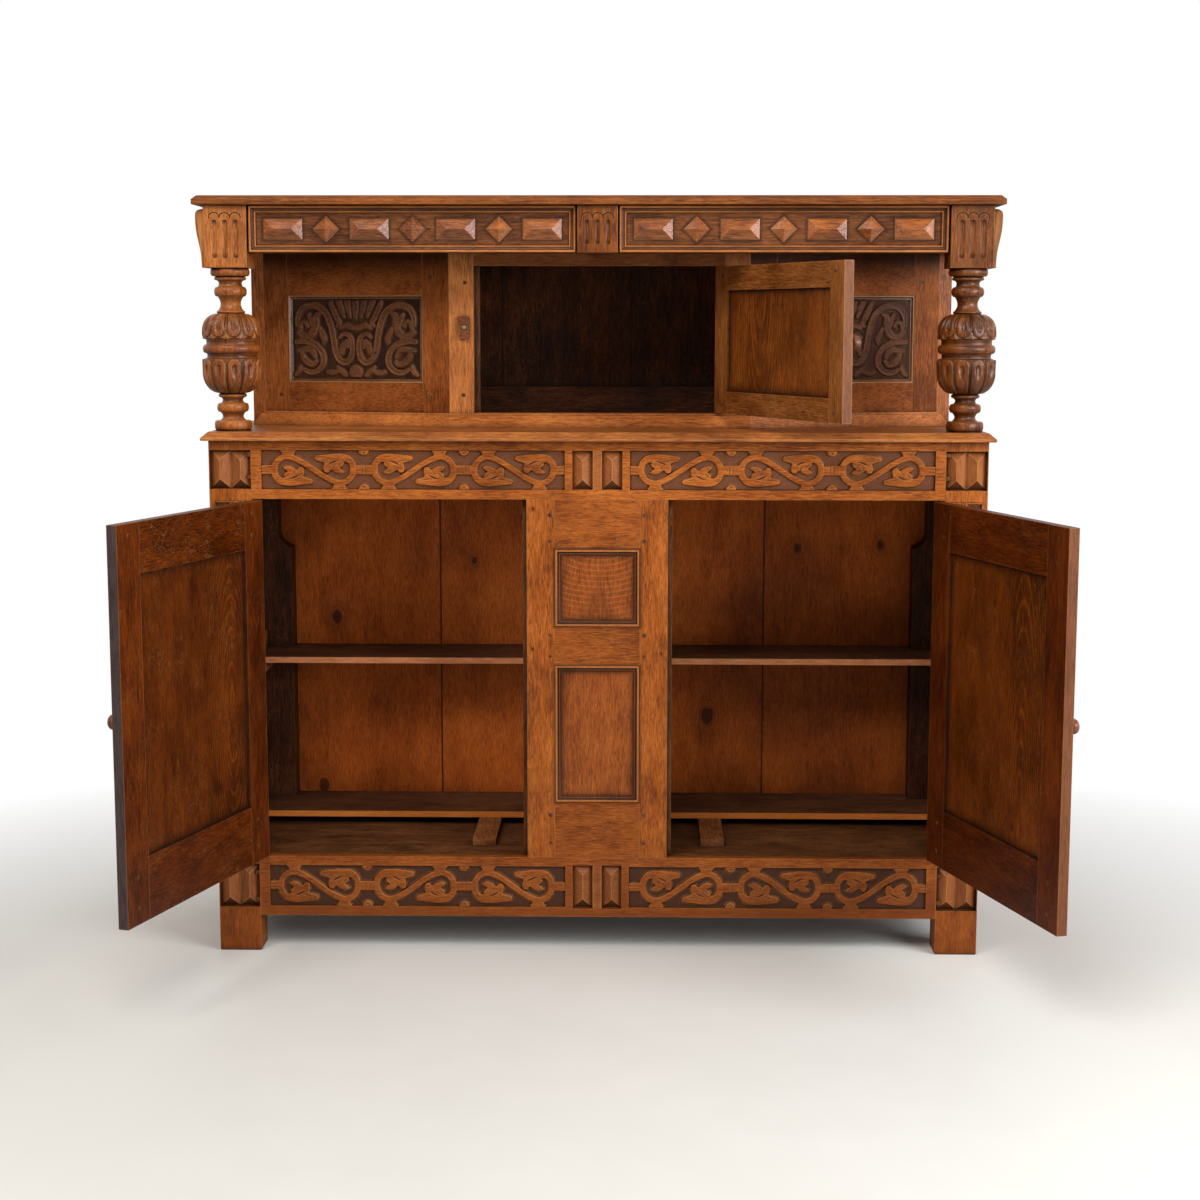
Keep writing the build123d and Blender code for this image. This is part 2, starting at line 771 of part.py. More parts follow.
with BuildPart() as lower_back_boards:
    lay_back_boards(
        (-back_board_reach, -back_board_joint, 0.0, back_board_joint, back_board_reach),
        (back_board_foot, case_height),
    )
lower_back_boards.part.label = "lower_back_boards"
export_step(lower_back_boards.part, "parts/lower_back_boards.step")


def lay_notched_board(z_bottom, thickness, front_depth, half_width, wide_from):
    """A level board that fills the case between the posts and widens to the sides behind them."""
    with BuildSketch(level(z_bottom)) as plan:
        with Locations((0, (front_depth + back_depth - fit_gap) / 2)):
            Rectangle(2 * (post_inner - fit_gap), back_depth - fit_gap - front_depth)
        with Locations((0, (wide_from + rear_post_front - fit_gap) / 2)):
            Rectangle(2 * half_width, rear_post_front - fit_gap - wide_from)
    extrude(plan.sketch, amount=thickness)


with BuildPart() as floor_board:
    lay_notched_board(
        floor_bottom,
        floor_thickness,
        rail_thickness - floor_rebate + fit_gap,
        side_inner + floor_side_bearing,
        front_post_depth + fit_gap,
    )
floor_board.part.label = "floor_board"
export_step(floor_board.part, "parts/floor_board.step")

with BuildPart() as shelf_upper:
    lay_notched_board(
        upper_shelf_top - shelf_thickness,
        shelf_thickness,
        shelf_front_depth,
        side_inner - fit_gap,
        shelf_front_depth,
    )
shelf_upper.part.label = "shelf_upper"
export_step(shelf_upper.part, "parts/shelf_upper.step")

with BuildPart() as shelf_lower:
    lay_notched_board(
        floor_top + bearer_height,
        shelf_thickness,
        shelf_front_depth,
        side_inner - fit_gap,
        shelf_front_depth,
    )
shelf_lower.part.label = "shelf_lower"
export_step(shelf_lower.part, "parts/shelf_lower.step")

with BuildPart() as shelf_bearers:
    for side_name, side in sides:
        lay_board(
            face(0, bearer_front_depth),
            (side * bearer_inner_edge, side * (bearer_inner_edge + bearer_width)),
            (floor_top, floor_top + bearer_height),
            back_depth - bearer_rear_margin - bearer_front_depth,
        )
shelf_bearers.part.label = "shelf_bearers"
export_step(shelf_bearers.part, "parts/shelf_bearers.step")

with BuildPart() as shelf_cleats:
    for side_name, side in sides:
        cleat_top = upper_shelf_top - shelf_thickness
        lay_board(
            face(0, shelf_front_depth + cleat_end_margin),
            (side * (side_inner - cleat_width), side * side_inner),
            (cleat_top - cleat_height, cleat_top),
            rear_post_front - shelf_front_depth - 2 * cleat_end_margin,
        )
shelf_cleats.part.label = "shelf_cleats"
export_step(shelf_cleats.part, "parts/shelf_cleats.step")

with BuildPart() as door_stops:
    for side_name, side in sides:
        stop_edge = half_centre + stop_strip_show
        lay_board(
            face(0, frame_thickness),
            (side * (stop_edge - stop_strip_width), side * stop_edge),
            (door_space_bottom, door_space_top),
            stop_strip_thickness,
        )
    upper_stop_edge = half_opening - upper_stop_show
    lay_board(
        face(0, upper_depth + frame_thickness),
        (-(upper_stop_edge + stop_strip_width + upper_stop_show), -upper_stop_edge),
        (middle_top, upper_door_space[1]),
        stop_strip_thickness,
    )
door_stops.part.label = "door_stops"
export_step(door_stops.part, "parts/door_stops.step")

# ---- Middle board and top board --------------------------------------------------------------
def moulded_board(z_bottom, thickness, side_lip, front_lip, slope, fall):
    """A board over the case with a thumb moulding along its front and both ends."""
    with BuildPart() as board:
        with BuildSketch(level(z_bottom)):
            with Locations((0, (case_depth - front_lip) / 2)):
                Rectangle(2 * (half_case + side_lip), case_depth + front_lip)
        extrude(amount=thickness)
        underside = board.faces().sort_by(Axis.Z)[0]
        nose = underside.edges().sort_by(Axis.Y)[:-1]
        fillet(nose, nose_round)
        top_face = board.faces().sort_by(Axis.Z)[-1]
        arrises = top_face.edges().sort_by(Axis.Y)[:-1]
        chamfer(arrises, slope, fall, reference=top_face)
    return board.part


with BuildPart() as middle_board:
    add(
        moulded_board(
            case_height,
            middle_board_thickness,
            middle_board_side_lip,
            middle_board_front_lip,
            middle_edge_slope,
            middle_edge_fall,
        )
    )
middle_board.part.label = "middle_board"
export_step(middle_board.part, "parts/middle_board.step")

with BuildPart() as top_board:
    add(
        moulded_board(
            top_underside,
            top_board_thickness,
            top_board_side_lip,
            top_board_front_lip,
            top_edge_slope,
            top_edge_fall,
        )
    )
top_board.part.label = "top_board"
export_step(top_board.part, "parts/top_board.step")

# ---- Upper cupboard: door frame, canted fronts and ends ---------------------------------------
def lay_plan(plane, side, outline, height):
    """Stands up a plan given as (run along the front, distance behind it) points."""
    with BuildSketch(plane) as plan:
        with BuildLine():
            Polyline([(side * run, behind) for run, behind in outline], close=True)
        make_face()
    extrude(plan.sketch, amount=height)


def canted_face(side):
    """Face of a canted front; its x axis is side times the run from the upper stile's corner."""
    return face(side * stile_outer, upper_depth, side * cant_angle)


def canted_level(side, z):
    """Level plane with its origin on the upper stile's corner, x along the canted front."""
    upright = canted_face(side)
    return Plane(
        origin=(upright.origin.X, upright.origin.Y, z),
        x_dir=upright.x_dir,
        z_dir=(0, 0, 1),
    )


canted_sight_x = (canted_inner_stile, cant_length - canted_outer_stile)
canted_sight_z = (middle_top + canted_bottom_rail, top_underside - canted_top_rail)

for side_name, side in sides:
    with BuildPart() as upper_stile:
        stile_plan = (
            (half_opening, upper_depth),
            (stile_outer, upper_depth),
            (stile_outer - frame_thickness * mitre_slope, upper_depth + frame_thickness),
            (half_opening, upper_depth + frame_thickness),
        )
        lay_plan(level(middle_top), side, stile_plan, upper_height)
        if side == upper_door.hinge_side:
            cut_hinge_seats(upper_door, False, -1)
        else:
            with BuildSketch(face(side * button_x, upper_depth)) as screw_hole:
                with Locations((0, button_height)):
                    Circle(button_screw_radius + pin_play)
            extrude(screw_hole.sketch, amount=-button_screw_depth, mode=Mode.SUBTRACT)
    upper_stile.part.label = f"upper_stile_{side_name}"
    export_step(upper_stile.part, f"parts/upper_stile_{side_name}.step")

with BuildPart() as upper_front_rails:
    for rail_z in (
        (upper_door_space[1], top_underside),
        (middle_top, upper_door_space[0]),
    ):
        lay_board(face(0, upper_depth), (-half_opening, half_opening), rail_z, frame_thickness)
upper_front_rails.part.label = "upper_front_rails"
export_step(upper_front_rails.part, "parts/upper_front_rails.step")

with BuildPart() as canted_stiles:
    for side_name, side in sides:
        inner_plan = (
            (0, 0),
            (canted_inner_stile, 0),
            (canted_inner_stile, frame_thickness),
            (frame_thickness * mitre_slope, frame_thickness),
        )
        outer_plan = (
            (cant_length - canted_outer_stile, 0),
            (cant_length, 0),
            (cant_length + frame_thickness * cant_slope, frame_thickness),
            (cant_length - canted_outer_stile, frame_thickness),
        )
        lay_plan(canted_level(side, middle_top), side, inner_plan, upper_height)
        lay_plan(canted_level(side, middle_top), side, outer_plan, upper_height)
        sight_x = (side * canted_sight_x[0], side * canted_sight_x[1])
        cut_panel_groove(canted_face(side), sight_x, canted_sight_z)
canted_stiles.part.label = "canted_stiles"
export_step(canted_stiles.part, "parts/canted_stiles.step")

with BuildPart() as canted_rails:
    for side_name, side in sides:
        sight_x = (side * canted_sight_x[0], side * canted_sight_x[1])
        for rail_z in ((middle_top, canted_sight_z[0]), (canted_sight_z[1], top_underside)):
            lay_board(canted_face(side), sight_x, rail_z, frame_thickness)
        cut_panel_groove(canted_face(side), sight_x, canted_sight_z)
canted_rails.part.label = "canted_rails"
export_step(canted_rails.part, "parts/canted_rails.step")

for side_name, side in sides:
    with BuildPart() as carved_panel:
        lay_moulded_panel(
            canted_face(side),
            (side * canted_sight_x[0], side * canted_sight_x[1]),
            canted_sight_z,
            carved_panel_margin,
        )
    carved_panel.part.label = f"carved_panel_{side_name}"
    export_step(carved_panel.part, f"parts/carved_panel_{side_name}.step")

# End boards, bevelled in front to carry on the line of the canted fronts.
with BuildPart() as upper_end_boards:
    for side_name, side in sides:
        end_plan = (
            (end_inner, upper_depth + canted_run * cant_slope),
            (end_outer, upper_depth + (canted_run + end_board_thickness) * cant_slope),
            (end_outer, back_depth),
            (end_inner, back_depth),
        )
        lay_plan(level(middle_top), side, end_plan, upper_height)
upper_end_boards.part.label = "upper_end_boards"
export_step(upper_end_boards.part, "parts/upper_end_boards.step")

# Base moulding planted round the front in three mitred lengths; the outer ends are cut on the rake.
with BuildPart() as base_moulding:
    face_top = middle_top + base_moulding_height - base_bead_height
    for low, high, proud in (
        (middle_top, face_top, base_moulding_thickness),
        (face_top, middle_top + base_moulding_height, base_moulding_thickness - base_bead_setback),
    ):
        reach = proud * mitre_slope
        centre_plan = (
            (-stile_outer + mitre_gap / 2, upper_depth),
            (stile_outer - mitre_gap / 2, upper_depth),
            (stile_outer + reach - mitre_gap / 2, upper_depth - proud),
            (-stile_outer - reach + mitre_gap / 2, upper_depth - proud),
        )
        lay_plan(level(low), 1, centre_plan, high - low)
        canted_plan = (
            (mitre_gap / 2, 0),
            (cant_length + base_moulding_rake, 0),
            (cant_length + base_moulding_rake, -proud),
            (mitre_gap / 2 - reach, -proud),
        )
        for side_name, side in sides:
            lay_plan(canted_level(side, low), side, canted_plan, high - low)
    for side_name, side in sides:
        with BuildSketch(canted_face(side).offset(base_moulding_thickness)) as rake:
            with BuildLine():
                Polyline(
                    (side * cant_length, middle_top + base_moulding_height),
                    (side * (cant_length + base_moulding_rake), middle_top),
                    (side * (cant_length + base_moulding_rake), middle_top + base_moulding_height),
                    close=True,
                )
            make_face()
        extrude(rake.sketch, amount=-base_moulding_thickness, mode=Mode.SUBTRACT)
base_moulding.part.label = "base_moulding"
export_step(base_moulding.part, "parts/base_moulding.step")

with BuildPart() as upper_back_boards:
    first_joint = upper_back_joint - upper_back_board_width
    joints = [first_joint + step * upper_back_board_width for step in range(upper_back_joints)]
    lay_back_boards([-end_outer] + joints + [end_outer], (middle_top, top_underside))
upper_back_boards.part.label = "upper_back_boards"
export_step(upper_back_boards.part, "parts/upper_back_boards.step")

with BuildPart() as upper_back_rail:
    lay_board(
        face(0, back_depth - rear_rail_thickness),
        (-end_inner, end_inner),
        (middle_top, middle_top + upper_back_rail_height),
        rear_rail_thickness,
    )
upper_back_rail.part.label = "upper_back_rail"
export_step(upper_back_rail.part, "parts/upper_back_rail.step")

# ---- Canopy ------------------------------------------------------------------------------
frieze_ground = face(0, frieze_setback)
frieze_z = (frieze_underside, top_underside)
frieze_frame_x = (
    centre_block_width / 2 + frieze_moulding_gap,
    block_inner - frieze_moulding_gap,
)
jewel_z = (frieze_underside + top_underside) / 2
jewel_x = (frieze_frame_x[0] + frieze_frame_x[1]) / 2
jewel_run = (
    frieze_frame_x[1]
    - frieze_frame_x[0]
    - 2 * (frieze_moulding_width + jewel_end_gap)
    - jewel_width
)
jewel_pitch = jewel_run / (jewels_in_field - 1)

with BuildPart() as canopy_frieze:
    lay_board(frieze_ground, (-block_inner, block_inner), frieze_z, frieze_thickness)
canopy_frieze.part.label = "canopy_frieze"
export_step(canopy_frieze.part, "parts/canopy_frieze.step")

# Raised frames round the jewelled fields, splayed a little outside and more inside.
with BuildPart() as canopy_mouldings:
    for side_name, side in sides:
        x_range = (side * frieze_frame_x[0], side * frieze_frame_x[1])
        top = frieze_ground.offset(frieze_moulding_height)
        foot_face = rectangle(frieze_ground, x_range, frieze_z)
        top_outline = rectangle(top, x_range, frieze_z, -frieze_moulding_edge_splay)
        loft([foot_face.face(), top_outline.face()], ruled=True)
        cut_field(
            top,
            (min(x_range) + frieze_moulding_width, max(x_range) - frieze_moulding_width),
            (frieze_z[0] + frieze_moulding_width, frieze_z[1] - frieze_moulding_width),
            frieze_moulding_height,
            frieze_moulding_splay,
        )
canopy_mouldings.part.label = "canopy_mouldings"
export_step(canopy_mouldings.part, "parts/canopy_mouldings.step")

# Jewels: hipped rectangles and pointed lozenges by turns along each field.
with BuildPart() as jewels:
    for side_name, side in sides:
        for step in range(jewels_in_field):
            x = side * jewel_x - jewel_run / 2 + step * jewel_pitch
            if step % 2 == 0:
                lay_hipped_block(
                    frieze_ground,
                    (x - jewel_width / 2, x + jewel_width / 2),
                    (jewel_z - jewel_tall / 2, jewel_z + jewel_tall / 2),
                    jewel_height,
                )
            else:
                with BuildSketch(frieze_ground) as lozenge:
                    with Locations((x, jewel_z)):
                        Rectangle(lozenge_side, lozenge_side, rotation=45)
                with BuildSketch(frieze_ground.offset(lozenge_height)) as point:
                    with Locations((x, jewel_z)):
                        Rectangle(boss_ridge, boss_ridge, rotation=45)
                loft([lozenge.sketch.face(), point.sketch.face()], ruled=True)
jewels.part.label = "jewels"
export_step(jewels.part, "parts/jewels.step")


def cut_flutes(x_middle, z_range):
    """Three half-round flutes with round ends, side by side."""
    radius = (flute_width**2 / 4 + flute_depth**2) / (2 * flute_depth)
    for step in (-1, 0, 1):
        x = x_middle + step * flute_pitch
        with BuildSketch(level(z_range[0])) as gouge:
            with Locations((x, flute_depth - radius)):
                Circle(radius)
        extrude(gouge.sketch, amount=z_range[1] - z_range[0], mode=Mode.SUBTRACT)
        for z in z_range:
            with Locations((x, front_y + flute_depth - radius, z)):
                Sphere(radius, mode=Mode.SUBTRACT)


with BuildPart() as centre_block:
    lay_board(
        face(0, 0), (-centre_block_width / 2, centre_block_width / 2), frieze_z, frieze_setback
    )
    cut_flutes(0, (frieze_underside + flute_margin, top_underside - flute_headroom))
centre_block.part.label = "centre_block"
export_step(centre_block.part, "parts/centre_block.step")

for side_name, side in sides:
    # Corner block over the column, fluted in front and shaped as a console on the outer side.
    with BuildPart() as corner_block:
        with BuildSketch(face(0, 0)) as elevation:
            with BuildLine():
                console_foot = side * (block_outer + console_foot_proud)
                console_belly = side * (block_outer + console_proud)
                belly_z = top_underside - console_shoulder_drop
                middle_z = (corner_block_bottom + belly_z) / 2
                head_z = top_underside - console_end_margin
                Bezier(
                    (console_foot, corner_block_bottom),
                    (console_foot, middle_z),
                    (console_belly, middle_z),
                    (console_belly, belly_z),
                )
                Bezier(
                    (console_belly, belly_z),
                    (console_belly, head_z),
                    (side * block_outer, head_z),
                )
                Polyline(
                    (side * block_outer, head_z),
                    (side * block_outer, top_underside),
                    (side * block_inner, top_underside),
                    (side * block_inner, corner_block_bottom),
                    (console_foot, corner_block_bottom),
                )
            make_face()
        extrude(elevation.sketch, amount=-corner_block_depth)
        cut_flutes(
            side * (block_inner + block_outer) / 2,
            (corner_block_bottom + flute_margin, top_underside - flute_headroom),
        )
    corner_block.part.label = f"corner_block_{side_name}"
    export_step(corner_block.part, f"parts/corner_block_{side_name}.step")

with BuildPart() as canopy_sides:
    for side_name, side in sides:
        outer = block_outer - return_setback
        lay_board(
            face(0, corner_block_depth),
            (side * (outer - frieze_thickness), side * outer),
            frieze_z,
            case_depth - corner_block_depth,
        )
canopy_sides.part.label = "canopy_sides"
export_step(canopy_sides.part, "parts/canopy_sides.step")


# ---- Turned pieces -------------------------------------------------------------------------
def turning_plane(base):
    """Sketch plane through a turned piece's axis: x is the radius, y the height above the base."""
    return Plane(origin=base.origin, x_dir=base.x_dir, z_dir=base.y_dir * -1)


def turned_column(side):
    """Cup-and-cover column: foot, ring, cup, band, cover, ring, collar and cap, in one turning."""
    base = Plane(
        origin=(side * column_x, front_y + column_depth, middle_top),
        x_dir=(1, 0, 0),
        z_dir=(0, 0, 1),
    )
    height = corner_block_bottom - middle_top
    foot_edge = column_foot_radius - column_bead_round
    ring_edge = column_ring_radius - column_bead_round
    band_edge = column_band_radius - column_bead_round
    collar_base = height - column_cap_height
    collar_top = collar_base - column_cap_fillet
    ring_half = column_ring_height / 2
    with BuildPart() as column:
        with BuildSketch(turning_plane(base)):
            with BuildLine():
                Polyline((0, height), (0, 0), (foot_edge, 0))
                ThreePointArc(
                    (foot_edge, 0),
                    (column_foot_radius, column_foot_height / 2),
                    (foot_edge, column_foot_height),
                )
                ThreePointArc(
                    (foot_edge, column_foot_height),
                    (column_neck_radius, column_foot_neck),
                    (ring_edge, column_low_ring - ring_half),
                )
                ThreePointArc(
                    (ring_edge, column_low_ring - ring_half),
                    (column_ring_radius, column_low_ring),
                    (ring_edge, column_low_ring + ring_half),
                )
                Bezier(
                    (ring_edge, column_low_ring + ring_half),
                    (column_neck_radius, column_low_ring + ring_half),
                    (column_neck_radius, column_cup_start),
                    (column_cup_seat, column_cup_start),
                )
                Bezier(
                    (column_cup_seat, column_cup_start),
                    (column_cup_radius, column_cup_start + column_cup_fullness),
                    (column_cup_radius, column_cup_widest),
                )
                Bezier(
                    (column_cup_radius, column_cup_widest),
                    (column_cup_radius, column_band_bottom - column_groove_width),
                    (column_groove_radius, column_band_bottom - column_groove_width / 2),
                )
                Line(
                    (column_groove_radius, column_band_bottom - column_groove_width / 2),
                    (band_edge, column_band_bottom),
                )
                ThreePointArc(
                    (band_edge, column_band_bottom),
                    (column_band_radius, column_band_bottom + column_band_height / 2),
                    (band_edge, column_band_bottom + column_band_height),
                )
                Line(
                    (band_edge, column_band_bottom + column_band_height),
                    (
                        column_groove_radius,
                        column_band_bottom + column_band_height + column_groove_width / 2,
                    ),
                )
                Bezier(
                    (
                        column_groove_radius,
                        column_band_bottom + column_band_height + column_groove_width / 2,
                    ),
                    (
                        column_cup_radius,
                        column_band_bottom + column_band_height + column_groove_width,
                    ),
                    (column_cup_radius, column_cover_widest),
                )
                Bezier(
                    (column_cup_radius, column_cover_widest),
                    (column_cup_radius, column_cover_end - column_cup_fullness),
                    (column_cup_seat, column_cover_end),
                )
                Bezier(
                    (column_cup_seat, column_cover_end),
                    (column_neck_radius, column_cover_end),
                    (column_neck_radius, column_high_ring - ring_half),
                    (ring_edge, column_high_ring - ring_half),
                )
                ThreePointArc(
                    (ring_edge, column_high_ring - ring_half),
                    (column_ring_radius, column_high_ring),
                    (ring_edge, column_high_ring + ring_half),
                )
                Bezier(
                    (ring_edge, column_high_ring + ring_half),
                    (column_neck_radius, column_high_ring + ring_half),
                    (column_neck_radius, collar_top - column_collar_height),
                    (column_collar_radius, collar_top - column_collar_height),
                )
                Polyline(
                    (column_collar_radius, collar_top - column_collar_height),
                    (column_collar_radius, collar_top),
                    (column_cap_radius, collar_base),
                    (column_cap_radius, height),
                    (0, height),
                )
            make_face()
        revolve(axis=Axis(base.origin, base.z_dir))
    return column.part


for side_name, side in sides:
    with BuildPart() as column:
        add(turned_column(side))
    column.part.label = f"column_{side_name}"
    export_step(column.part, f"parts/column_{side_name}.step")


def turned_knob(base):
    """Wooden knob: shank let into the door, collar on its face, neck and flattened ball."""
    with BuildPart() as knob:
        with BuildSketch(turning_plane(base)):
            with BuildLine():
                Polyline(
                    (0, -knob_shank_length),
                    (knob_shank_radius, -knob_shank_length),
                    (knob_shank_radius, 0),
                    (knob_collar_radius, 0),
                    (knob_collar_radius, knob_collar_length),
                    (knob_neck_radius, knob_collar_length),
                    (knob_neck_radius, knob_neck_length),
                )
                Bezier(
                    (knob_neck_radius, knob_neck_length),
                    (knob_radius, knob_neck_length),
                    (knob_radius, (knob_neck_length + knob_length) / 2),
                )
                Bezier(
                    (knob_radius, (knob_neck_length + knob_length) / 2),
                    (knob_radius, knob_length),
                    (0, knob_length),
                )
                Line((0, knob_length), (0, -knob_shank_length))
            make_face()
        revolve(axis=Axis(base.origin, base.z_dir))
    return knob.part


# ---- Doors -------------------------------------------------------------------------------
for door in doors:
    outer = door.outer_face()
    sight_x = door.along(door.hinge_stile, door.width - door.lock_stile)
    sight_z = (door.bottom + door.bottom_rail, door.top - door.top_rail)
    knob_x = door.along(door.width - door.lock_stile / 2, door.width)[0]
    knob_seat = Plane(
        origin=outer.from_local_coords((knob_x, door.knob_height, 0)),
        x_dir=outer.x_dir,
        z_dir=outer.z_dir,
    )

    with BuildPart() as door_stiles:
        lay_board(outer, door.along(0, door.hinge_stile), (door.bottom, door.top), door_thickness)
        lay_board(
            outer,
            door.along(door.width - door.lock_stile, door.width),
            (door.bottom, door.top),
            door_thickness,
        )
        cut_panel_groove(outer, sight_x, sight_z)
        cut_hinge_seats(door, True, 1)
        with BuildSketch(knob_seat) as shank_hole:
            Circle(knob_shank_radius + pin_play)
        extrude(shank_hole.sketch, amount=-(knob_shank_length + fit_gap), mode=Mode.SUBTRACT)
    door_stiles.part.label = f"{door.name}_stiles"
    export_step(door_stiles.part, f"parts/{door.name}_stiles.step")

    with BuildPart() as door_rails:
        for rail_z in ((door.bottom, sight_z[0]), (sight_z[1], door.top)):
            lay_board(outer, sight_x, rail_z, door_thickness)
        cut_panel_groove(outer, sight_x, sight_z)
    door_rails.part.label = f"{door.name}_rails"
    export_step(door_rails.part, f"parts/{door.name}_rails.step")

    with BuildPart() as door_panel:
        lay_moulded_panel(outer, sight_x, sight_z)
    door_panel.part.label = f"{door.name}_panel"
    export_step(door_panel.part, f"parts/{door.name}_panel.step")

    with BuildPart() as door_knob:
        add(turned_knob(knob_seat))
    door_knob.part.label = f"{door.name}_knob"
    export_step(door_knob.part, f"parts/{door.name}_knob.step")

# ---- Turn button -------------------------------------------------------------------------
button_back = face(-upper_door.hinge_side * button_x, upper_depth).offset(fit_gap)

# A waisted wooden tongue, upright when it is out of use.
with BuildPart() as turn_button:
    with BuildSketch(button_back) as tongue:
        with BuildLine():
            half_length = button_length / 2
            end_half = button_width / 2
            waist_half = button_waist / 2
            Line(
                (-end_half, button_height - half_length + button_corner),
                (-end_half + button_corner, button_height - half_length),
            )
            Line(
                (-end_half + button_corner, button_height - half_length),
                (end_half - button_corner, button_height - half_length),
            )
            Line(
                (end_half - button_corner, button_height - half_length),
                (end_half, button_height - half_length + button_corner),
            )
            ThreePointArc(
                (end_half, button_height - half_length + button_corner),
                (waist_half, button_height),
                (end_half, button_height + half_length - button_corner),
            )
            Line(
                (end_half, button_height + half_length - button_corner),
                (end_half - button_corner, button_height + half_length),
            )
            Line(
                (end_half - button_corner, button_height + half_length),
                (-end_half + button_corner, button_height + half_length),
            )
            Line(
                (-end_half + button_corner, button_height + half_length),
                (-end_half, button_height + half_length - button_corner),
            )
            ThreePointArc(
                (-end_half, button_height + half_length - button_corner),
                (-waist_half, button_height),
                (-end_half, button_height - half_length + button_corner),
            )
        make_face()
        with Locations((0, button_height)):
            Circle(button_screw_radius + pin_play, mode=Mode.SUBTRACT)
    extrude(tongue.sketch, amount=button_thickness)
turn_button.part.label = "turn_button"
export_step(turn_button.part, "parts/turn_button.step")

with BuildPart() as turn_button_screw:
    with BuildSketch(face(-upper_door.hinge_side * button_x, upper_depth)) as shank:
        with Locations((0, button_height)):
            Circle(button_screw_radius)
    extrude(shank.sketch, amount=-button_screw_depth + fit_gap)
    extrude(shank.sketch, amount=button_thickness + 2 * fit_gap)
    with BuildSketch(button_back.offset(button_thickness + fit_gap)) as head:
        with Locations((0, button_height)):
            Circle(button_head_radius)
    extrude(head.sketch, amount=button_head_height, taper=button_head_taper)
turn_button_screw.part.label = "turn_button_screw"
export_step(turn_button_screw.part, "parts/turn_button_screw.step")
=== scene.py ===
import math

import bmesh
import bpy
import numpy as np
from mathutils import Matrix, Vector


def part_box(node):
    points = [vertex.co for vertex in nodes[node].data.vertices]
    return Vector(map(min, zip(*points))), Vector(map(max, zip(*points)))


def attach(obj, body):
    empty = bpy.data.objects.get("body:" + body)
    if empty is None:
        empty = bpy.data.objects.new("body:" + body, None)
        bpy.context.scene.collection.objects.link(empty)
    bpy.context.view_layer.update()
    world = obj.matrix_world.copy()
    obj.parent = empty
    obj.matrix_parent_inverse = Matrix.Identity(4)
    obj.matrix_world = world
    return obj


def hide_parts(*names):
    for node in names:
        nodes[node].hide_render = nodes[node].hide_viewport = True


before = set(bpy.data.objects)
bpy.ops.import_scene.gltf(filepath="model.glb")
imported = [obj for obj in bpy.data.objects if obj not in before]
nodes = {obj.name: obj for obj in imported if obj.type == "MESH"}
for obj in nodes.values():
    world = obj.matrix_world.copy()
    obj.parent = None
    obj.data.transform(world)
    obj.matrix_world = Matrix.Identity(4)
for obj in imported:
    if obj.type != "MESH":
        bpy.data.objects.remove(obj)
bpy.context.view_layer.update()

# ---- Joined oak of the lower case ----
# Riven oak posts and rails, tenoned and pegged, cleaned up with a plane and left with three
# hundred years of wax: streaked along the grain, pale on the worn arrises with painted highlight,
# black in the corners with wax and painted shade.


class Tone:
    """A number or colour that varies over a finish. Sums written on it add Math nodes."""

    def __init__(self, finish, socket):
        self.finish = finish
        self.socket = socket

    def maths(self, operation, *values, held=False):
        return self.finish.node("Math", dict(enumerate(values)), {"operation": operation, "use_clamp": held})

    def __add__(self, other):
        return self.maths("ADD", self, other)

    def __sub__(self, other):
        return self.maths("SUBTRACT", self, other)

    def __rsub__(self, other):
        return self.maths("SUBTRACT", other, self)

    def __mul__(self, other):
        return self.maths("MULTIPLY", self, other)

    def __pow__(self, other):
        return self.maths("POWER", self, other)

    __radd__ = __add__
    __rmul__ = __mul__

    def over(self, low, high):
        """0 below low, 1 above high, even between."""
        return self.maths("MULTIPLY", self - low, 1.0 / (high - low), held=True)

    def size(self):
        return self.maths("ABSOLUTE", self)

    def ripple(self):
        return self.maths("SINE", self) * 0.5 + 0.5


def feed(socket, value):
    """Link a socket to a Tone or to another node's output, or give it a plain value."""
    value = value.socket if isinstance(value, Tone) else value
    if isinstance(value, bpy.types.NodeSocket):
        socket.id_data.links.new(value, socket)
    else:
        socket.default_value = value


def add_node(tree, kind, values=None, settings=None):
    """A node of a kind, with its settings and then the values or links of its sockets."""
    made = tree.nodes.new(kind)
    for key, value in (settings or {}).items():
        if key == "stops":
            stops = made.color_ramp.elements
            stops.remove(stops[1])
            stops[0].position, stops[0].color = value[0]
            for place, colour in value[1:]:
                stops.new(place).color = colour
        else:
            setattr(made, key, value)
    for key, value in (values or {}).items():
        feed(made.inputs[key], value)
    return made


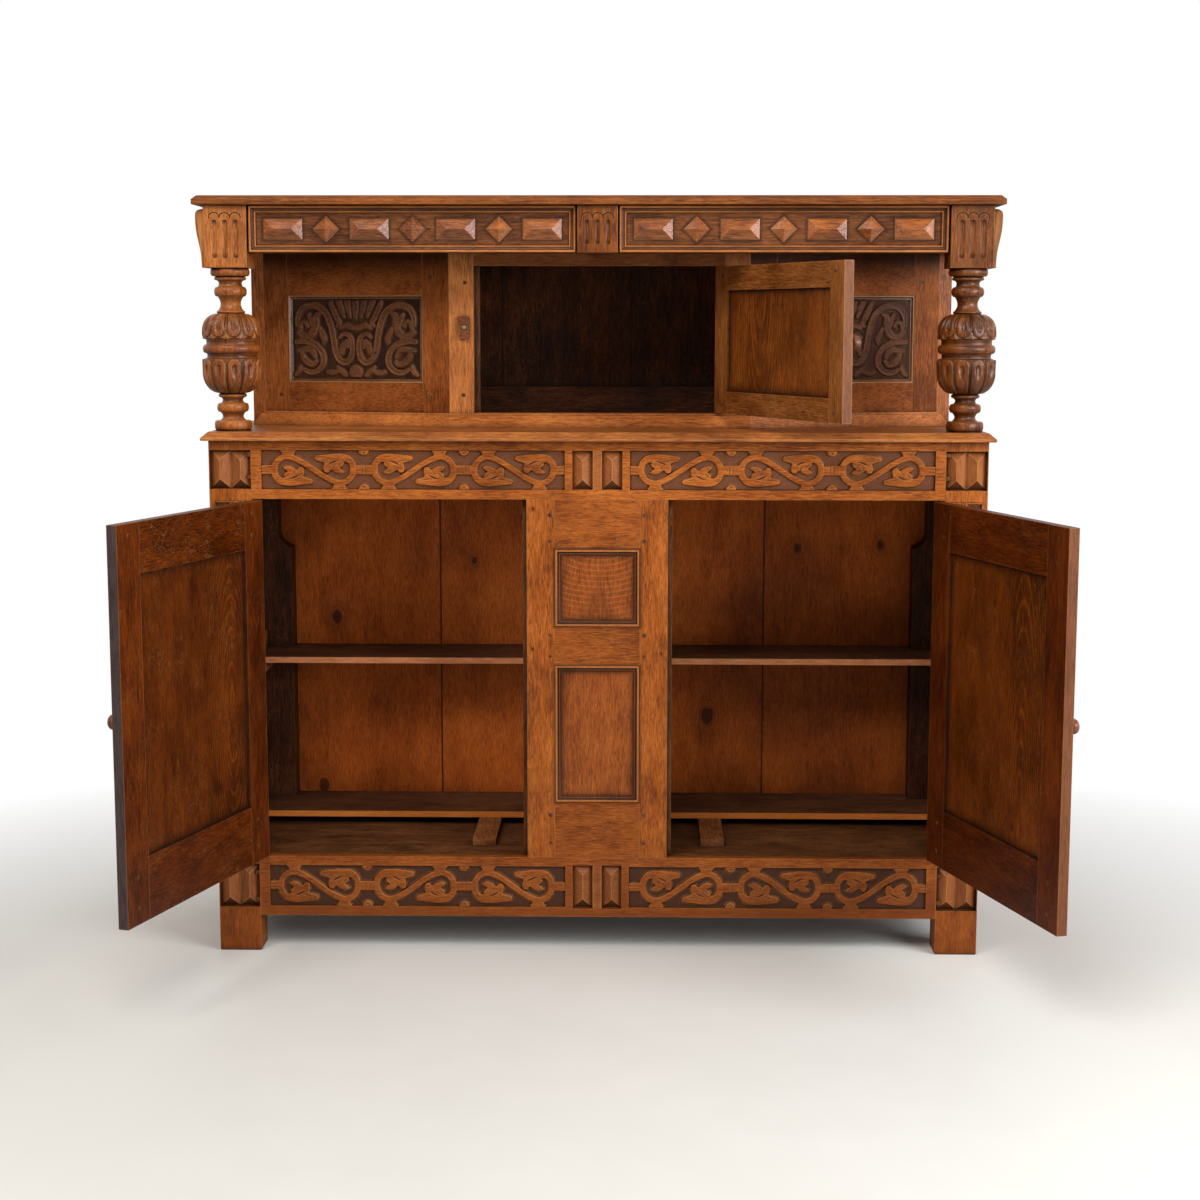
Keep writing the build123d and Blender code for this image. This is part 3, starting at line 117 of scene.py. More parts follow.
class Finish:
    """A material under construction, whose shader takes its colours from Tones."""

    def __init__(self, name):
        self.material = bpy.data.materials.new(name)
        self.material.use_nodes = True
        self.tree = self.material.node_tree
        self.tree.nodes.clear()
        self.shader = add_node(self.tree, "ShaderNodeBsdfPrincipled")
        self.end = add_node(self.tree, "ShaderNodeOutputMaterial", {0: self.shader.outputs[0]})

    def node(self, kind, values=None, settings=None, out=0):
        return Tone(self, add_node(self.tree, "ShaderNode" + kind, values, settings).outputs[out])

    def vector(self, operation, *values):
        """Vector Math; a length or a dot product comes out as a plain number."""
        plain = operation in ("LENGTH", "DOT_PRODUCT")
        return self.node("VectorMath", dict(enumerate(values)), {"operation": operation}, int(plain))

    def mix(self, amount, first, second):
        return self.node("Mix", {0: amount, 6: first, 7: second}, {"data_type": "RGBA", "clamp_factor": True}, out=2)

    def noise(self, spot, stretch, scale, detail=2.0, warp=0.0):
        """Noise whose cells are drawn out along the third axis by one over stretch."""
        drawn = self.vector("MULTIPLY", spot, (1.0, 1.0, stretch))
        return self.node("TexNoise", {"Vector": drawn, "Scale": scale, "Detail": detail, "Distortion": warp})

    def ramp(self, tone, tones):
        """Pale, middle and deep wood, spread over the middle half of a tone."""
        pale, middle, deep = (shade(*part) for part in tones)
        return self.node("ValToRGB", {0: tone + 0.5}, {"stops": [(0.24, deep), (0.5, middle), (0.76, pale)]})

    def coat(self, values):
        for key, value in values.items():
            feed(self.shader.inputs[key], value)
        return self.material


def shade(red, green, blue):
    """A colour from the 0 to 255 values it shows on a screen."""
    return tuple((part / 255.0) ** 2.2 for part in (red, green, blue)) + (1.0,)


dark_wax_and_shade = shade(34, 20, 12)
along_x, along_y, along_z, to_front = (1, 0, 0), (0, 1, 0), (0, 0, 1), (0, -1, 0)
anywhere = -9.0


def wood(name, grain, tones, start=0.0, wear_and_highlight=0.6, wax_and_shade=0.9, gloss=0.42, shine=0.14, figure=1.0, flakes=0.25, crown=(),
         lined=False, carved=(), reach=0.022, seam=0.55, foot=0.0, knots=(), rings=(), blots_and_shadows=(), boards=(), bosses=(),
         edged=(), canopy_shadow=(), outside=(), grime_and_shade=()):
    """Wood whose grain runs along a direction, dark in its corners with old polish and painted shade,
    and paled at its arrises by use and painted highlight.

    Sizes are in metres and colours 0 to 255. start shifts the grain, foot darkens the wood towards
    the floor as painted shade, reach is how far a corner shuts out light and seam how dark an open
    joint is. wax sets how dark the corners go, with old polish and painted shade, and wear how pale
    the arrises go, with use and painted highlight. crown: heart, width, height and rate of its arcs.
    knots: x, z, size. rings and blots: place, size, strength; blots also stand for painted shadows.
    boards: x of each joint. bosses: near and far x, low and high z. sooty: a painted shadow under the
    canopy, as clean height, black height, strength. grimy: grime and painted shade round a place, as
    centre, two directions, two half sizes, spread. edged: the way a face looks, how far out it lies,
    dark, light. outside: the tones of the outer faces.
    """
    f = Finish(name)
    pale, deep = shade(*tones[0]), shade(*tones[2])
    # A pale oak for ray flecks and for arrises paled by wear and painted highlight.
    pale_oak = f.mix(0.3, pale, shade(226, 170, 108))
    spot = f.node("TexCoord", out=3)
    across, rise = (f.node("SeparateXYZ", {0: spot}, out=k) for k in (0, 2))

    # The grain: bands, streaks and fibres drawn out along it, clouds and blotches less so.
    moved = spot
    if boards:
        step, gap = 0.0, 0.0
        for joint in boards:
            step = across.maths("GREATER_THAN", across, joint) * 0.37 + step
            gap = (across - joint).size().over(0.0024, 0.0010) + gap
        moved = f.vector("ADD", spot, f.node("CombineXYZ", {0: step, 1: step * 0.6, 2: step * 2.3}))
    turn = Vector(grain).rotation_difference(Vector((0, 0, 1))).to_euler()
    shift = (start, start * 0.7, start * 1.3)
    laid = f.node("Mapping", {"Vector": moved, "Rotation": turn, "Location": shift})
    band = f.noise(laid, 0.14, 30.0, 3.0, 1.2)
    streak = f.noise(laid, 0.09, 400.0, 4.0)
    fibre = f.noise(laid, 0.07, 1050.0, 1.0)
    cloud = f.noise(laid, 0.7, 8.0, 5.0)
    blotch = f.noise(laid, 0.4, 36.0, 3.0, 0.6)
    pore = f.noise(laid, 0.10, 900.0, 1.0).over(0.56, 0.68)
    tone = ((band - 0.5) * 0.42 + (streak - 0.5) * 0.85 + (blotch - 0.5) * 0.48) * figure
    tone = tone + (fibre - 0.5) * 0.60 + (cloud - 0.5) * 0.66
    for heart, wide, tall, rate in crown:
        place = f.vector("MULTIPLY", f.vector("SUBTRACT", spot, heart), (1 / wide, 1 / wide, 1 / tall))
        away = f.vector("LENGTH", place)
        arcs = (away * rate + cloud * 5 + streak * 0.6).ripple() ** 6 * blotch.over(0.30, 0.50)
        tone = tone + (arcs - 0.35) * away.over(2.6, 1.6) * 0.28
    body = f.ramp(tone, tones)

    def lay(amount, colour=dark_wax_and_shade):
        nonlocal body
        body = f.mix(amount, body, colour)

    if outside:
        lay(across.size().over(0.6838, 0.6846), f.ramp(tone, outside))
    wave = f.noise(laid, 0.45, 75.0, 1.5, 2.2)
    flake = (wave - 0.5).size().over(0.024, 0.006) * f.noise(spot, 1.0, 15.0).over(0.45, 0.6)
    lay(flake * flakes, pale_oak)
    lay(pore * 0.6, deep)

    # What three centuries leave on it: stains, dents, knots, joints, rings and blots; some of the blots
    # and the darkening towards the floor are painted shade.
    stain = f.noise(spot, 1.0, 5.5, 6.0, 0.5).over(0.53, 0.72)
    lay(stain * 0.5, deep)
    # Darker towards the floor: painted shade.
    if foot:
        lay(rise.over(0.34, 0.02) * (cloud * 0.6 + 0.7) * foot, deep)
    dent = f.node("TexVoronoi", {"Vector": spot, "Scale": 34.0}).over(0.055, 0.03)
    dent = dent * f.noise(spot, 1.0, 21.0).over(0.52, 0.6)
    lay(dent * 0.75)
    height = streak * 0.5 + fibre * 0.35 - pore * 0.5 - dent * 1.2
    rough = cloud * 0.22 + (gloss - 0.11) + pore * 0.08
    for x, z, size in knots:
        place = f.vector("MULTIPLY", f.vector("SUBTRACT", spot, (x, 0.0, z)), (1.0, 0.0, 0.7))
        away = f.vector("LENGTH", place) + (streak - 0.5) * size * 0.5
        whorl = (away * 900.0).ripple()
        lay(away.over(size * 3.4, size) * (whorl * 0.4 + 0.2), deep)
        lay(away.over(size, size * 0.7) * 0.75)
    if boards:
        lay(gap * 0.9)
    for place, size, strength in rings + blots_and_shadows:
        away = f.vector("LENGTH", f.vector("SUBTRACT", spot, place)) + (cloud - 0.5) * size * 0.9
        mark = (away - size).size().over(0.0042, 0.0005) if rings else away.over(size, size * 0.5)
        lay(mark * strength)

    # Where the surface faces and how it is shut in: painted shade on undersides and under the canopy,
    # bosses, grime with painted shade round set places, and edges paled by wear and painted highlight.
    open_sky = f.node("AmbientOcclusion", {"Distance": reach}, {"samples": 6}, out=1)
    true_face = f.node("NewGeometry", out=3)
    rounded = f.node("Bevel", {"Radius": 0.0022}, {"samples": 4})
    sharp = 1.0 - f.vector("DOT_PRODUCT", rounded, true_face)
    crack = sharp.over(0.16, 0.27) * seam
    # Corners and hollows go dark by how shut in they are: wax and painted shade.
    corner = (1.0 - open_sky).over(0.20, 0.72)
    # Arrises are paled: wear, and a painted highlight along the edges.
    edge_wear_and_highlight = sharp.over(0.008, 0.10) * open_sky.over(0.5, 0.9) * (cloud * 1.5)
    # Faces that look down are darkened: painted shade.
    under = f.node("SeparateXYZ", {0: true_face}, out=2).over(-0.15, -0.6)
    lay(under * 0.45)
    # A painted shadow of the canopy darkens the tops of the upper stiles, rails and canted frames.
    for low, high, amount in canopy_shadow:
        lay(rise.over(low, high) ** 1.5 * amount)
    for near, far, low, high in bosses:
        there = across.size().over(near, near + 0.001) * across.size().over(far, far - 0.001)
        there = there * rise.over(low, low + 0.001) * rise.over(high, high - 0.001)
        lay(there * 0.7, f.mix(tone + 0.5, shade(104, 56, 30), shade(158, 98, 58)))
        # The bosses' lower facets get more painted shade and their ridges more painted highlight.
        lay(there * under)
        crack = crack * (1.0 - there)
        edge_wear_and_highlight = edge_wear_and_highlight * (there * 2.0 + 1.0)
        rough = rough - there * 0.12
    # Grime and painted shade round jewels, panels and bosses.
    for centre, way, up, wide, tall, spread in grime_and_shade:
        place = f.vector("SUBTRACT", spot, centre)
        beside = f.vector("DOT_PRODUCT", place, way).size() - wide
        above = f.vector("DOT_PRODUCT", place, up).size() - tall
        near = beside.maths("MAXIMUM", beside, above).size().over(spread, 0.0)
        lay(near ** 1.5 * (blotch * 1.6))
    if edged:
        turned = {"vector_type": "NORMAL", "convert_from": "WORLD", "convert_to": "OBJECT"}
        own = f.node("VectorTransform", {0: true_face}, turned)
        for way, past, dark, light in edged:
            there = f.vector("DOT_PRODUCT", own, way).over(0.9, 0.96)
            there = there * f.vector("DOT_PRODUCT", spot, way).over(past, past + 0.001)
            lay(there * 0.9, f.mix(tone * 1.2 + 0.5, shade(*dark), shade(*light)))
    if carved or lined:
        line = f.node("Attribute", settings={"attribute_name": "line"}, out=2)
        if carved:
            ground = f.node("Attribute", settings={"attribute_name": "ground"}, out=2)
            punched = f.node("TexVoronoi", {"Vector": spot, "Scale": 420.0}, {"feature": "SMOOTH_F1"})
            matted = f.mix(cloud * 0.5 + punched * 0.5, shade(*carved[0]), shade(*carved[1]))
            lay(ground * 0.9, matted)
            height = height + punched * ground * 1.6
            rough = rough + ground * 0.16
        # Line marks darken incised lines, and as wax and painted shade the hollows and carving feet; marks below zero
        # pale the wood as a painted highlight.
        lay(line * 0.9)
        edge_wear_and_highlight = edge_wear_and_highlight * (1.0 - line) + (line * -1.0).over(0.0, 1.0)
    lay(edge_wear_and_highlight * wear_and_highlight, pale_oak)
    lay(crack)
    lay(corner * wax_and_shade)
    bump = f.node("Bump", {"Strength": 0.5, "Distance": 0.0007, "Height": height})
    return f.coat({"Base Color": body, "Roughness": rough + corner * 0.25 - edge_wear_and_highlight * 0.06, "Normal": bump,
                   "Specular IOR Level": shine})


def dress(material, *names):
    """Gives the solids of these names their material."""
    for name in names:
        data = nodes[name].data
        data.materials.clear()
        data.materials.append(material)


def add_piece(name, points, faces, material, body, slot, line=None, ground=None, sharp=38.0, rounded=None):
    """A closed mesh, its faces turned outward, smooth below an angle or over its first faces."""
    mesh = bpy.data.meshes.new(name)
    mesh.from_pydata([tuple(point) for point in points], [], faces)
    shape = bmesh.new()
    shape.from_mesh(mesh)
    bmesh.ops.recalc_face_normals(shape, faces=shape.faces)
    shape.to_mesh(mesh)
    shape.free()
    count = len(faces)
    mesh.polygons.foreach_set("use_smooth", [k < (count if rounded is None else rounded) for k in range(count)])
    if rounded is None:
        mesh.set_sharp_from_angle(angle=math.radians(sharp))
    for key, values in (("line", line), ("ground", ground)):
        layer = mesh.attributes.new(key, "FLOAT", "POINT")
        if values is not None:
            layer.data.foreach_set("value", np.asarray(values, np.float32))
    mesh.materials.append(material)
    piece = bpy.data.objects.new(name, mesh)
    bpy.context.scene.collection.objects.link(piece)
    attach(piece, body)
    return piece


oak = ((182, 103, 43), (150, 79, 30), (96, 47, 17))
case_front = 0.0075
centre_half = 0.0755
boss_heights = ((0.8405, 0.9095), (0.0815, 0.162))
# Grime and painted shade round the centre panels and in the gap between each pair of bosses.
panel_edges = tuple(((0.0, 0.0, middle), along_x, along_z, centre_half, half, 0.0065)
                    for middle, half in ((0.66625, 0.06925), (0.40275, 0.12475)))
boss_joints = tuple(((side * 0.6475, 0.0, middle), along_x, along_z, 0.0, half, 0.0035)
                    for side in (-1, 1) for middle, half in ((0.875, 0.0345), (0.12175, 0.04025)))
upright = wood("waxed_oak_posts", along_z, oak, foot=0.6,
               knots=((-0.115, 0.557, 0.0026), (0.114, 0.549, 0.0020), (-0.113, 0.807, 0.0024)),
               bosses=tuple((0.612, 0.683, *heights) for heights in boss_heights),
               grime_and_shade=panel_edges + boss_joints)
level_oak = wood("waxed_oak_rails", along_x, oak, start=0.9, foot=0.8, reach=0.014, wax_and_shade=0.6,
                 bosses=tuple((0.0, 0.0445, *heights) for heights in boss_heights))
dress(upright, "front_post_left", "front_post_right", "centre_stile_left", "centre_stile_right")
dress(level_oak, "frieze_rail", "bottom_rail")
dress(wood("waxed_oak_centre_rails", along_x, ((168, 93, 38), (140, 74, 28), (90, 44, 16)), start=1.4,
           foot=0.4, grime_and_shade=panel_edges), "centre_rails")
smoked = ((92, 54, 32), (64, 36, 22), (38, 22, 15))
side_tones = ((178, 104, 50), (146, 79, 35), (96, 49, 21))
dress(wood("smoked_oak_rear_posts", along_z, smoked, start=4.0, outside=side_tones), "rear_posts")
dress(wood("oak_side_rails", along_y, side_tones, start=1.7), "side_rails")

# ---- Framed panels of the lower case ----
# Thin oak boards let into grooves, with a fillet, a hollow and a small bead planted round each,
# mitred at the corners. The hollow and the panel's edge are black with wax and painted shade, which
# fades some 25 mm onto the panel; the top of the bead is paled as a painted highlight.
panel_section = [
    (-5.7, -7.0, 0.0), (-5.7, 0.0, 0.0), (0.2, 0.0, 1.0), (0.3, 3.4, 1.0), (0.9, 4.5, 0.2), (1.5, 4.65, -0.3),
    (3.9, 4.65, -0.3), (4.5, 4.3, 0.2), (4.9, 3.0, 0.9), (6.0, 1.8, 1.0), (7.4, 1.2, 1.0), (7.9, 1.9, 0.6),
    (8.6, 2.0, 0.4), (9.2, 1.2, 0.85), (10.2, 0.3, 1.0), (11.5, 0.0, 0.9), (14.5, 0.0, 0.55), (18.0, 0.0, 0.25),
    (25.0, 0.0, 0.0),
]


def mitred(name, openings, section, filled, material, body, slot):
    """A moulding run round each opening, or a moulded panel in one piece when it is filled.

    A section's rows are the way in from the edge, the way out from the face, both in mm, and how
    dark the old polish and painted shade lie there, below zero a painted highlight. A row before the
    edge is the panel's tongue, at the sides only.
    """
    points, faces, line = [], [], []
    count = len(section)
    for corner, along, out, width, height, side_tongue in openings:
        along, out = Vector(along), Vector(out)
        first = len(points)
        for inset, proud, mark in section:
            side = inset if inset >= 0 else -side_tongue
            for u, v in ((side, inset), (width - side, inset), (width - side, height - inset), (side, height - inset)):
                points.append(corner + (along * u + Vector((0, 0, v)) + out * proud) * 0.001)
                line.append(mark)
        for k in range(count - 1 if filled else count):
            near, far = first + 4 * k, first + 4 * ((k + 1) % count)
            faces += [[near + j, near + (j + 1) % 4, far + (j + 1) % 4, far + j] for j in range(4)]
        if filled:
            faces += [[first + j for j in (3, 2, 1, 0)], [first + 4 * (count - 1) + j for j in range(4)]]
    return add_piece(name, points, faces, material, body, slot, line)


panel_depth, tongue = 0.00565, 5.7
panel_face = case_front + panel_depth
centre_oak = wood("oak_centre_panels", along_z, ((166, 92, 42), (138, 72, 31), (92, 45, 20)), start=2.2,
                  figure=0.7, flakes=0.2, lined=True, reach=0.03, seam=0.0, gloss=0.36, wear_and_highlight=1.0,
                  crown=(((0.003, panel_face, 0.80), 0.11, 0.095, 62.0),))
centre_panels = mitred(
    "centre_moulded_panels",
    [(Vector((-centre_half, panel_face, low)), along_x, to_front, centre_half * 2000, tall, tongue)
     for low, tall in ((0.597, 138.5), (0.278, 249.5))],
    panel_section, True, centre_oak, "carcase", "oak_front",
)
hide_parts("centre_panels")
side_oak = wood("oak_side_panels", along_z, side_tones, start=3.1, figure=1.2, lined=True, seam=0.0)
side_panels = mitred(
    "side_moulded_panels",
    [(Vector((side * 0.67735, case_front + 0.0603, low)), along_y, (side, 0, 0), 337.4, 310.0, 0.0)
     for side in (-1, 1) for low in (0.530, 0.155)],
    panel_section, True, side_oak, "carcase", "oak_side",
)
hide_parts("side_panels")

# ---- Scroll carving along the frieze and the bottom rail ----
# Flat scrolls left standing while the ground was cut away with a gouge and matted with a punch.
# Each is cut in the rail's own wood, so a field fills the sunk recess that the rail carries.


def flow(knots, steps=5):
    """A smooth line through knots, each an x, a y and a half width."""
    knots = np.array(knots, float)
    ends = np.vstack([2 * knots[0] - knots[1], knots, 2 * knots[-1] - knots[-2]])
    line = []
    for a, b, c, d in zip(ends, ends[1:], ends[2:], ends[3:]):
        for t in np.linspace(0.0, 1.0, steps, endpoint=False):
            line.append(0.5 * (2 * b + (c - a) * t + (2 * a - 5 * b + 4 * c - d) * t * t
                               + (3 * b - a - 3 * c + d) * t ** 3))
    line.append(knots[-1])
    return np.array(line)


def reach_to(u, v, line):
    """How far each point is outside a line of varying half width; negative is inside."""
    best = np.full(u.shape, 1e3)
    for (x, y, wide), (x2, y2, wide2) in zip(line, line[1:]):
        dx, dy = x2 - x, y2 - y
        t = np.clip(((u - x) * dx + (v - y) * dy) / (dx * dx + dy * dy + 1e-9), 0.0, 1.0)
        best = np.minimum(best, np.hypot(u - x - t * dx, v - y - t * dy) - wide - t * (wide2 - wide))
    return best


def block(u, v, low_u, high_u, low_v, high_v):
    """How far each point is outside an upright rectangle."""
    return np.maximum(np.maximum(low_u - u, u - high_u), np.maximum(low_v - v, v - high_v))


def ease(low, high, value):
    """0 at low and 1 at high, with no corner at either."""
    t = np.clip((value - low) / (high - low), 0.0, 1.0)
    return t * t * (3 - 2 * t)


def join(*shapes):
    """One shape of several: the least distance to any of them."""
    return np.minimum.reduce(shapes)


def carve(name, corner, along, out, width, height, design, grid, thick, material, slot, mirrored=False):
    """A carved face. design gives, for points in mm, the depth cut, the ground and the lines."""
    grid = grid
    columns, rows = int(width / grid) + 1, int(height / grid) + 1
    u, v = np.meshgrid(np.linspace(0, width, columns), np.linspace(0, height, rows))
    cut, ground, line = design(width - u if mirrored else u, v)
    index = np.arange(rows * columns).reshape(rows, columns)
    rim = np.concatenate([index[0, :-1], index[:-1, -1], index[-1, :0:-1], index[:0:-1, 0]])
    us, vs = np.append(u.ravel(), u.ravel()[rim]), np.append(v.ravel(), v.ravel()[rim])
    depths = np.append(cut.ravel(), np.full(len(rim), thick))
    points = (np.array(corner) + 0.001 * (us[:, None] * np.array(along) + vs[:, None] * np.array((0, 0, 1.0))
                                          - depths[:, None] * np.array(out)))
    quads = np.stack([index[:-1, :-1], index[:-1, 1:], index[1:, 1:], index[1:, :-1]], -1)
    faces = quads.reshape(-1, 4).tolist()
    back, count, rim = rows * columns, len(rim), rim.tolist()
    walls = [[rim[(k + 1) % count], rim[k], back + k, back + (k + 1) % count] for k in range(count)]
    rear = [back + k for k in reversed(range(count))]
    marks = [np.append(values.ravel(), np.zeros(count)) for values in (line, ground)]
    return add_piece(name, points.tolist(), faces + walls + [rear], material, "carcase", slot, *marks,
                     rounded=len(faces))


def on_front(x, z):
    """A point on the face of the case, from millimetres."""
    return Vector((x, case_front * 1000, z)) * 0.001


scroll_stem = flow([
    (0, 0, 5.5), (-14, 10.2, 5.5), (-30, 20, 5.6), (-45, 25, 5.7), (-58, 21.8, 5.7), (-67, 12, 5.6),
    (-69.8, 0, 5.6), (-68, -12, 5.8), (-60, -21.2, 6.8), (-49, -22.8, 8.6), (-37, -21, 10.4),
    (-26, -20.5, 9.4), (-15, -21.8, 7.0), (-7, -22.3, 5.4),
])
scroll_lobes = [flow(line) for line in (
    [(-45, -12, 8.0), (-36, -8, 9.0), (-27, -9, 8.5)],
    [(-36, -6, 8.0), (-41.5, 0, 6.4), (-47, 3.4, 4.8), (-53.5, 2.8, 3.0)],
    [(-26, -9, 8.2), (-23.5, -3, 6.8), (-22.5, 0.5, 5.6)],
)]
scroll_lines = [flow(line) for line in (
    [(-25, -9.5, 0.3), (-31, -13, 1.5), (-38, -16.2, 1.4), (-44, -17.4, 0.3)],
    [(-12, -20.0, 0.2), (-20, -18.4, 0.7), (-28, -17.8, 0.3)],
    [(-33, 1.5, 0.3), (-34, -4, 0.8), (-37, -9, 0.3)],
    [(-53, -15.5, 0.2), (-47, -11, 0.6), (-43, -7, 0.3)],
)]
scroll_dots = [scroll_stem[k] for k in range(4, 60, 6)]
drawn_height, ground_depth, carved_grid = 74.5, 4.75, 0.95
field_width = 534.0
nowhere = 9.0  # a distance that leaves no mark


def scrolls(centres, tall, dotted):
    """Three S scrolls end to end, by turns falling and rising, tied to the border by tabs."""

    def design(u, v):
        middle = tall / 2
        shapes, lines, dots = [], [], []
        for number, centre in enumerate(centres):
            lean = 1 if number % 2 == 0 else -1
            for half in (1, -1):
                x, y = (u - centre) * half * lean, (v - middle) * half * drawn_height / tall
                near = (x > -92) & (x < 12)  # the only points that this half of a scroll can reach
                stem = np.full(u.shape, nowhere)
                xs, ys = x[near], y[near]
                leaf = join(*[reach_to(xs, ys, lobe) for lobe in scroll_lobes])
                eye = np.hypot(xs + 58.5, ys + 3) - 7.6
                stem[near] = join(reach_to(xs, ys, scroll_stem), np.maximum(leaf, -eye))
                flare = np.clip(y - 28, 0, 9) ** 2 * 0.06
                tab = block(x, y, -55 - flare, -35 + flare, 20, 45)
                shapes += [stem, tab]
                mark = np.full(u.shape, nowhere)
                mark[near] = join(*[reach_to(xs, ys, line) for line in scroll_lines])
                lines.append(mark)
                if dotted:
                    prick = np.full(u.shape, nowhere)
                    prick[near] = join(*[np.hypot(xs - a, ys - b) - 1.1 for a, b, _ in scroll_dots])
                    dots.append(prick)
        for place in ((centres[0] + centres[1]) / 2, (centres[1] + centres[2]) / 2):
            shapes.append(block(u, v, place - 15, place + 15, middle - 8.5, middle + 8.5))
            for border in (0.0, tall):
                shapes.append(np.hypot(u - place, v - border) - 9.2)
                dots.append(np.hypot(u - place, v - abs(border - 4.0)) - 1.4)
            lines += [np.abs(u - place + side) - 0.55 + nowhere * (np.abs(v - middle) > 8) for side in (-3, 3)]
        for low, high in ((-5, centres[0] - 70), (centres[2] + 70, field_width + 5)):
            shapes.append(block(u, v, low, high, middle - 8, middle + 8))
            side = low + 9 if low < 0 else high - 9
            lines += [np.abs(v - middle + row) - 0.5 + nowhere * (np.abs(u - side) > 8) for row in (-3, 3)]
        raised = join(*shapes)
        inside = ease(0.7, -0.75, raised)
        line = ease(0.5, -0.4, join(*lines, *dots)) * ease(-0.5, -1.6, raised)
        rounding = 0.45 * ease(-2.6, -0.5, raised)
        cut = ground_depth - inside * (ground_depth - rounding) + line
        # The foot of each raised wall is darkened: wax and painted shade in the crease.
        foot = ease(-0.6, 0.3, raised) * ease(2.2, 0.6, raised)
        return cut, 1 - inside, np.maximum(line, foot * 0.6)

    return design


fields = (
    ("frieze", 841.0, 68.0, (92.0, 269.0, 445.0), False, ((106, 67, 47), (72, 44, 31))),
    ("base", 84.5, 74.5, (89.0, 263.0, 440.0), True, ((66, 44, 35), (42, 28, 23))),
)
for rail, bottom, tall, centres, dotted, carved_ground in fields:
    carved_oak = wood(f"carved_oak_{rail}", along_x, oak, start=0.9, carved=carved_ground, reach=0.007, wear_and_highlight=0.75,
                      foot=0.7)
    for hand, left in (("left", -592.0), ("right", 58.0)):
        carve(f"{rail}_carving_{hand}", on_front(left, bottom), along_x, to_front, field_width, tall,
              scrolls(centres, tall, dotted), carved_grid, ground_depth + 0.2, carved_oak, "oak_carved",
              mirrored=hand == "right")

# ---- Leaf carving on the front posts ----
# A waving stem with a three-lobed leaf in each hollow, cut in the post's own wood with the same
# gouges as the scrolls but less deep. The doors hide most of it as they stand open.


post_width, post_height, leaf_depth = 54.0, 638.5, 3.8
post_leaf = (
    ((9, -24, 2.4), (-2, -6, 4.2), (-12, 9, 5.4), (-16, 20, 2.2)),
    ((-2, -6, 4.0), (-14, -5, 4.8), (-20, 1, 2.6)),
    ((0, -2, 3.6), (-3, 13, 4.4), (-6, 25, 1.6)),
)


def post_leaves(u, v):
    """A stem that waves up the middle of the post, with a leaf in each hollow of it."""
    middle, wave = post_width / 2, 122.0
    stem = flow([(middle + 11 * math.sin(2 * math.pi * z / wave), z, 3.2) for z in range(-10, 660, 12)], 2)
    shapes, lines = [reach_to(u, v, stem)], []
    for turn in range(-1, 12):
        side = 1 if turn % 2 else -1
        foot = wave * (turn / 2 + 0.25)
        leaf = [[(middle + side * x, foot + z, wide) for x, z, wide in lobe] for lobe in post_leaf]
        shapes += [reach_to(u, v, flow(lobe, 4)) for lobe in leaf]
        lines += [reach_to(u, v, flow([(x, z, 0.5) for x, z, _ in lobe], 3)) for lobe in leaf[:2]]
    for end in (0.0, post_height):
        shapes.append(np.abs(v - end) - 3.0)
    raised = join(*shapes)
    inside = ease(0.7, -0.75, raised)
    line = ease(0.5, -0.3, join(*lines)) * ease(-0.8, -1.8, raised)
    rounding = 0.35 * ease(-2.6, -0.5, raised)
    return leaf_depth - inside * (leaf_depth - rounding) + line * 0.9, 1 - inside, line


carved_posts = wood("carved_oak_posts", along_z, oak, carved=carved_ground, reach=0.006, wear_and_highlight=0.75)
for hand, left in (("left", -674.5), ("right", 620.5)):
    carve(f"post_carving_{hand}", on_front(left, 181.0), along_x, to_front, post_width, post_height, post_leaves, 1.0,
          leaf_depth + 0.15, carved_posts, "oak_carved", mirrored=hand == "right")

# ---- Inside and back of the lower case ----
# Rough boards that never saw wax: a pine back nailed on behind, oak shelves on cleats and loose
# bearers, gone nearly black with handling and dust.
pine = ((212, 112, 45), (181, 89, 32), (117, 56, 20))
# The first blot on the pine back is a painted shadow of the right door over its lower right; the second darkens the
# back high on the left.
pine_boards = wood("pine_back_boards", along_z, pine, start=1.2, wear_and_highlight=0.3, wax_and_shade=0.4, gloss=0.6, figure=0.6, reach=0.05,
                   foot=0.6, boards=(-0.321, 0.0, 0.321),
                   knots=((-0.5286, 0.5502, 0.011), (-0.5607, 0.2064, 0.012), (0.2110, 0.3522, 0.015),
                          (0.3867, 0.6899, 0.008), (0.5510, 0.6964, 0.008), (-0.2531, 0.664, 0.006)),
                   blots_and_shadows=(((0.47, 0.455, 0.32), 0.32, 0.4), ((-0.60, 0.455, 0.80), 0.16, 0.25)))
dress(pine_boards, "lower_back_boards")
dim = ((126, 80, 48), (95, 59, 35), (55, 34, 21))
dress(wood("oak_inner_rails", along_x, dim, start=5.5, wear_and_highlight=0.4, gloss=0.6), "rear_rails", "floor_board")
dusty = ((112, 72, 48), (86, 54, 36), (54, 33, 22))
# The shelf tops are dark with dust; their front edges are made pale, partly as a painted highlight of the light they
# catch.
for level, start, dark, light in (("upper", 6.5, (150, 90, 56), (232, 152, 104)),
                                  ("lower", 6.8, (184, 98, 40), (240, 142, 64))):
    dress(wood(f"dusty_{level}_shelf", along_x, dusty, start=start, wear_and_highlight=1.0, wax_and_shade=0.5, gloss=0.6, reach=0.05, seam=0.0,
               edged=((to_front, anywhere, dark, light),)), f"shelf_{level}")
dress(wood("oak_cleats", along_y, ((164, 104, 60), (124, 74, 40), (74, 42, 23)), start=7.5,
           wear_and_highlight=0.6, gloss=0.6), "shelf_bearers", "shelf_cleats")
dress(wood("oak_stop_strips", along_z, dim, start=8.5, gloss=0.55), "door_stops")

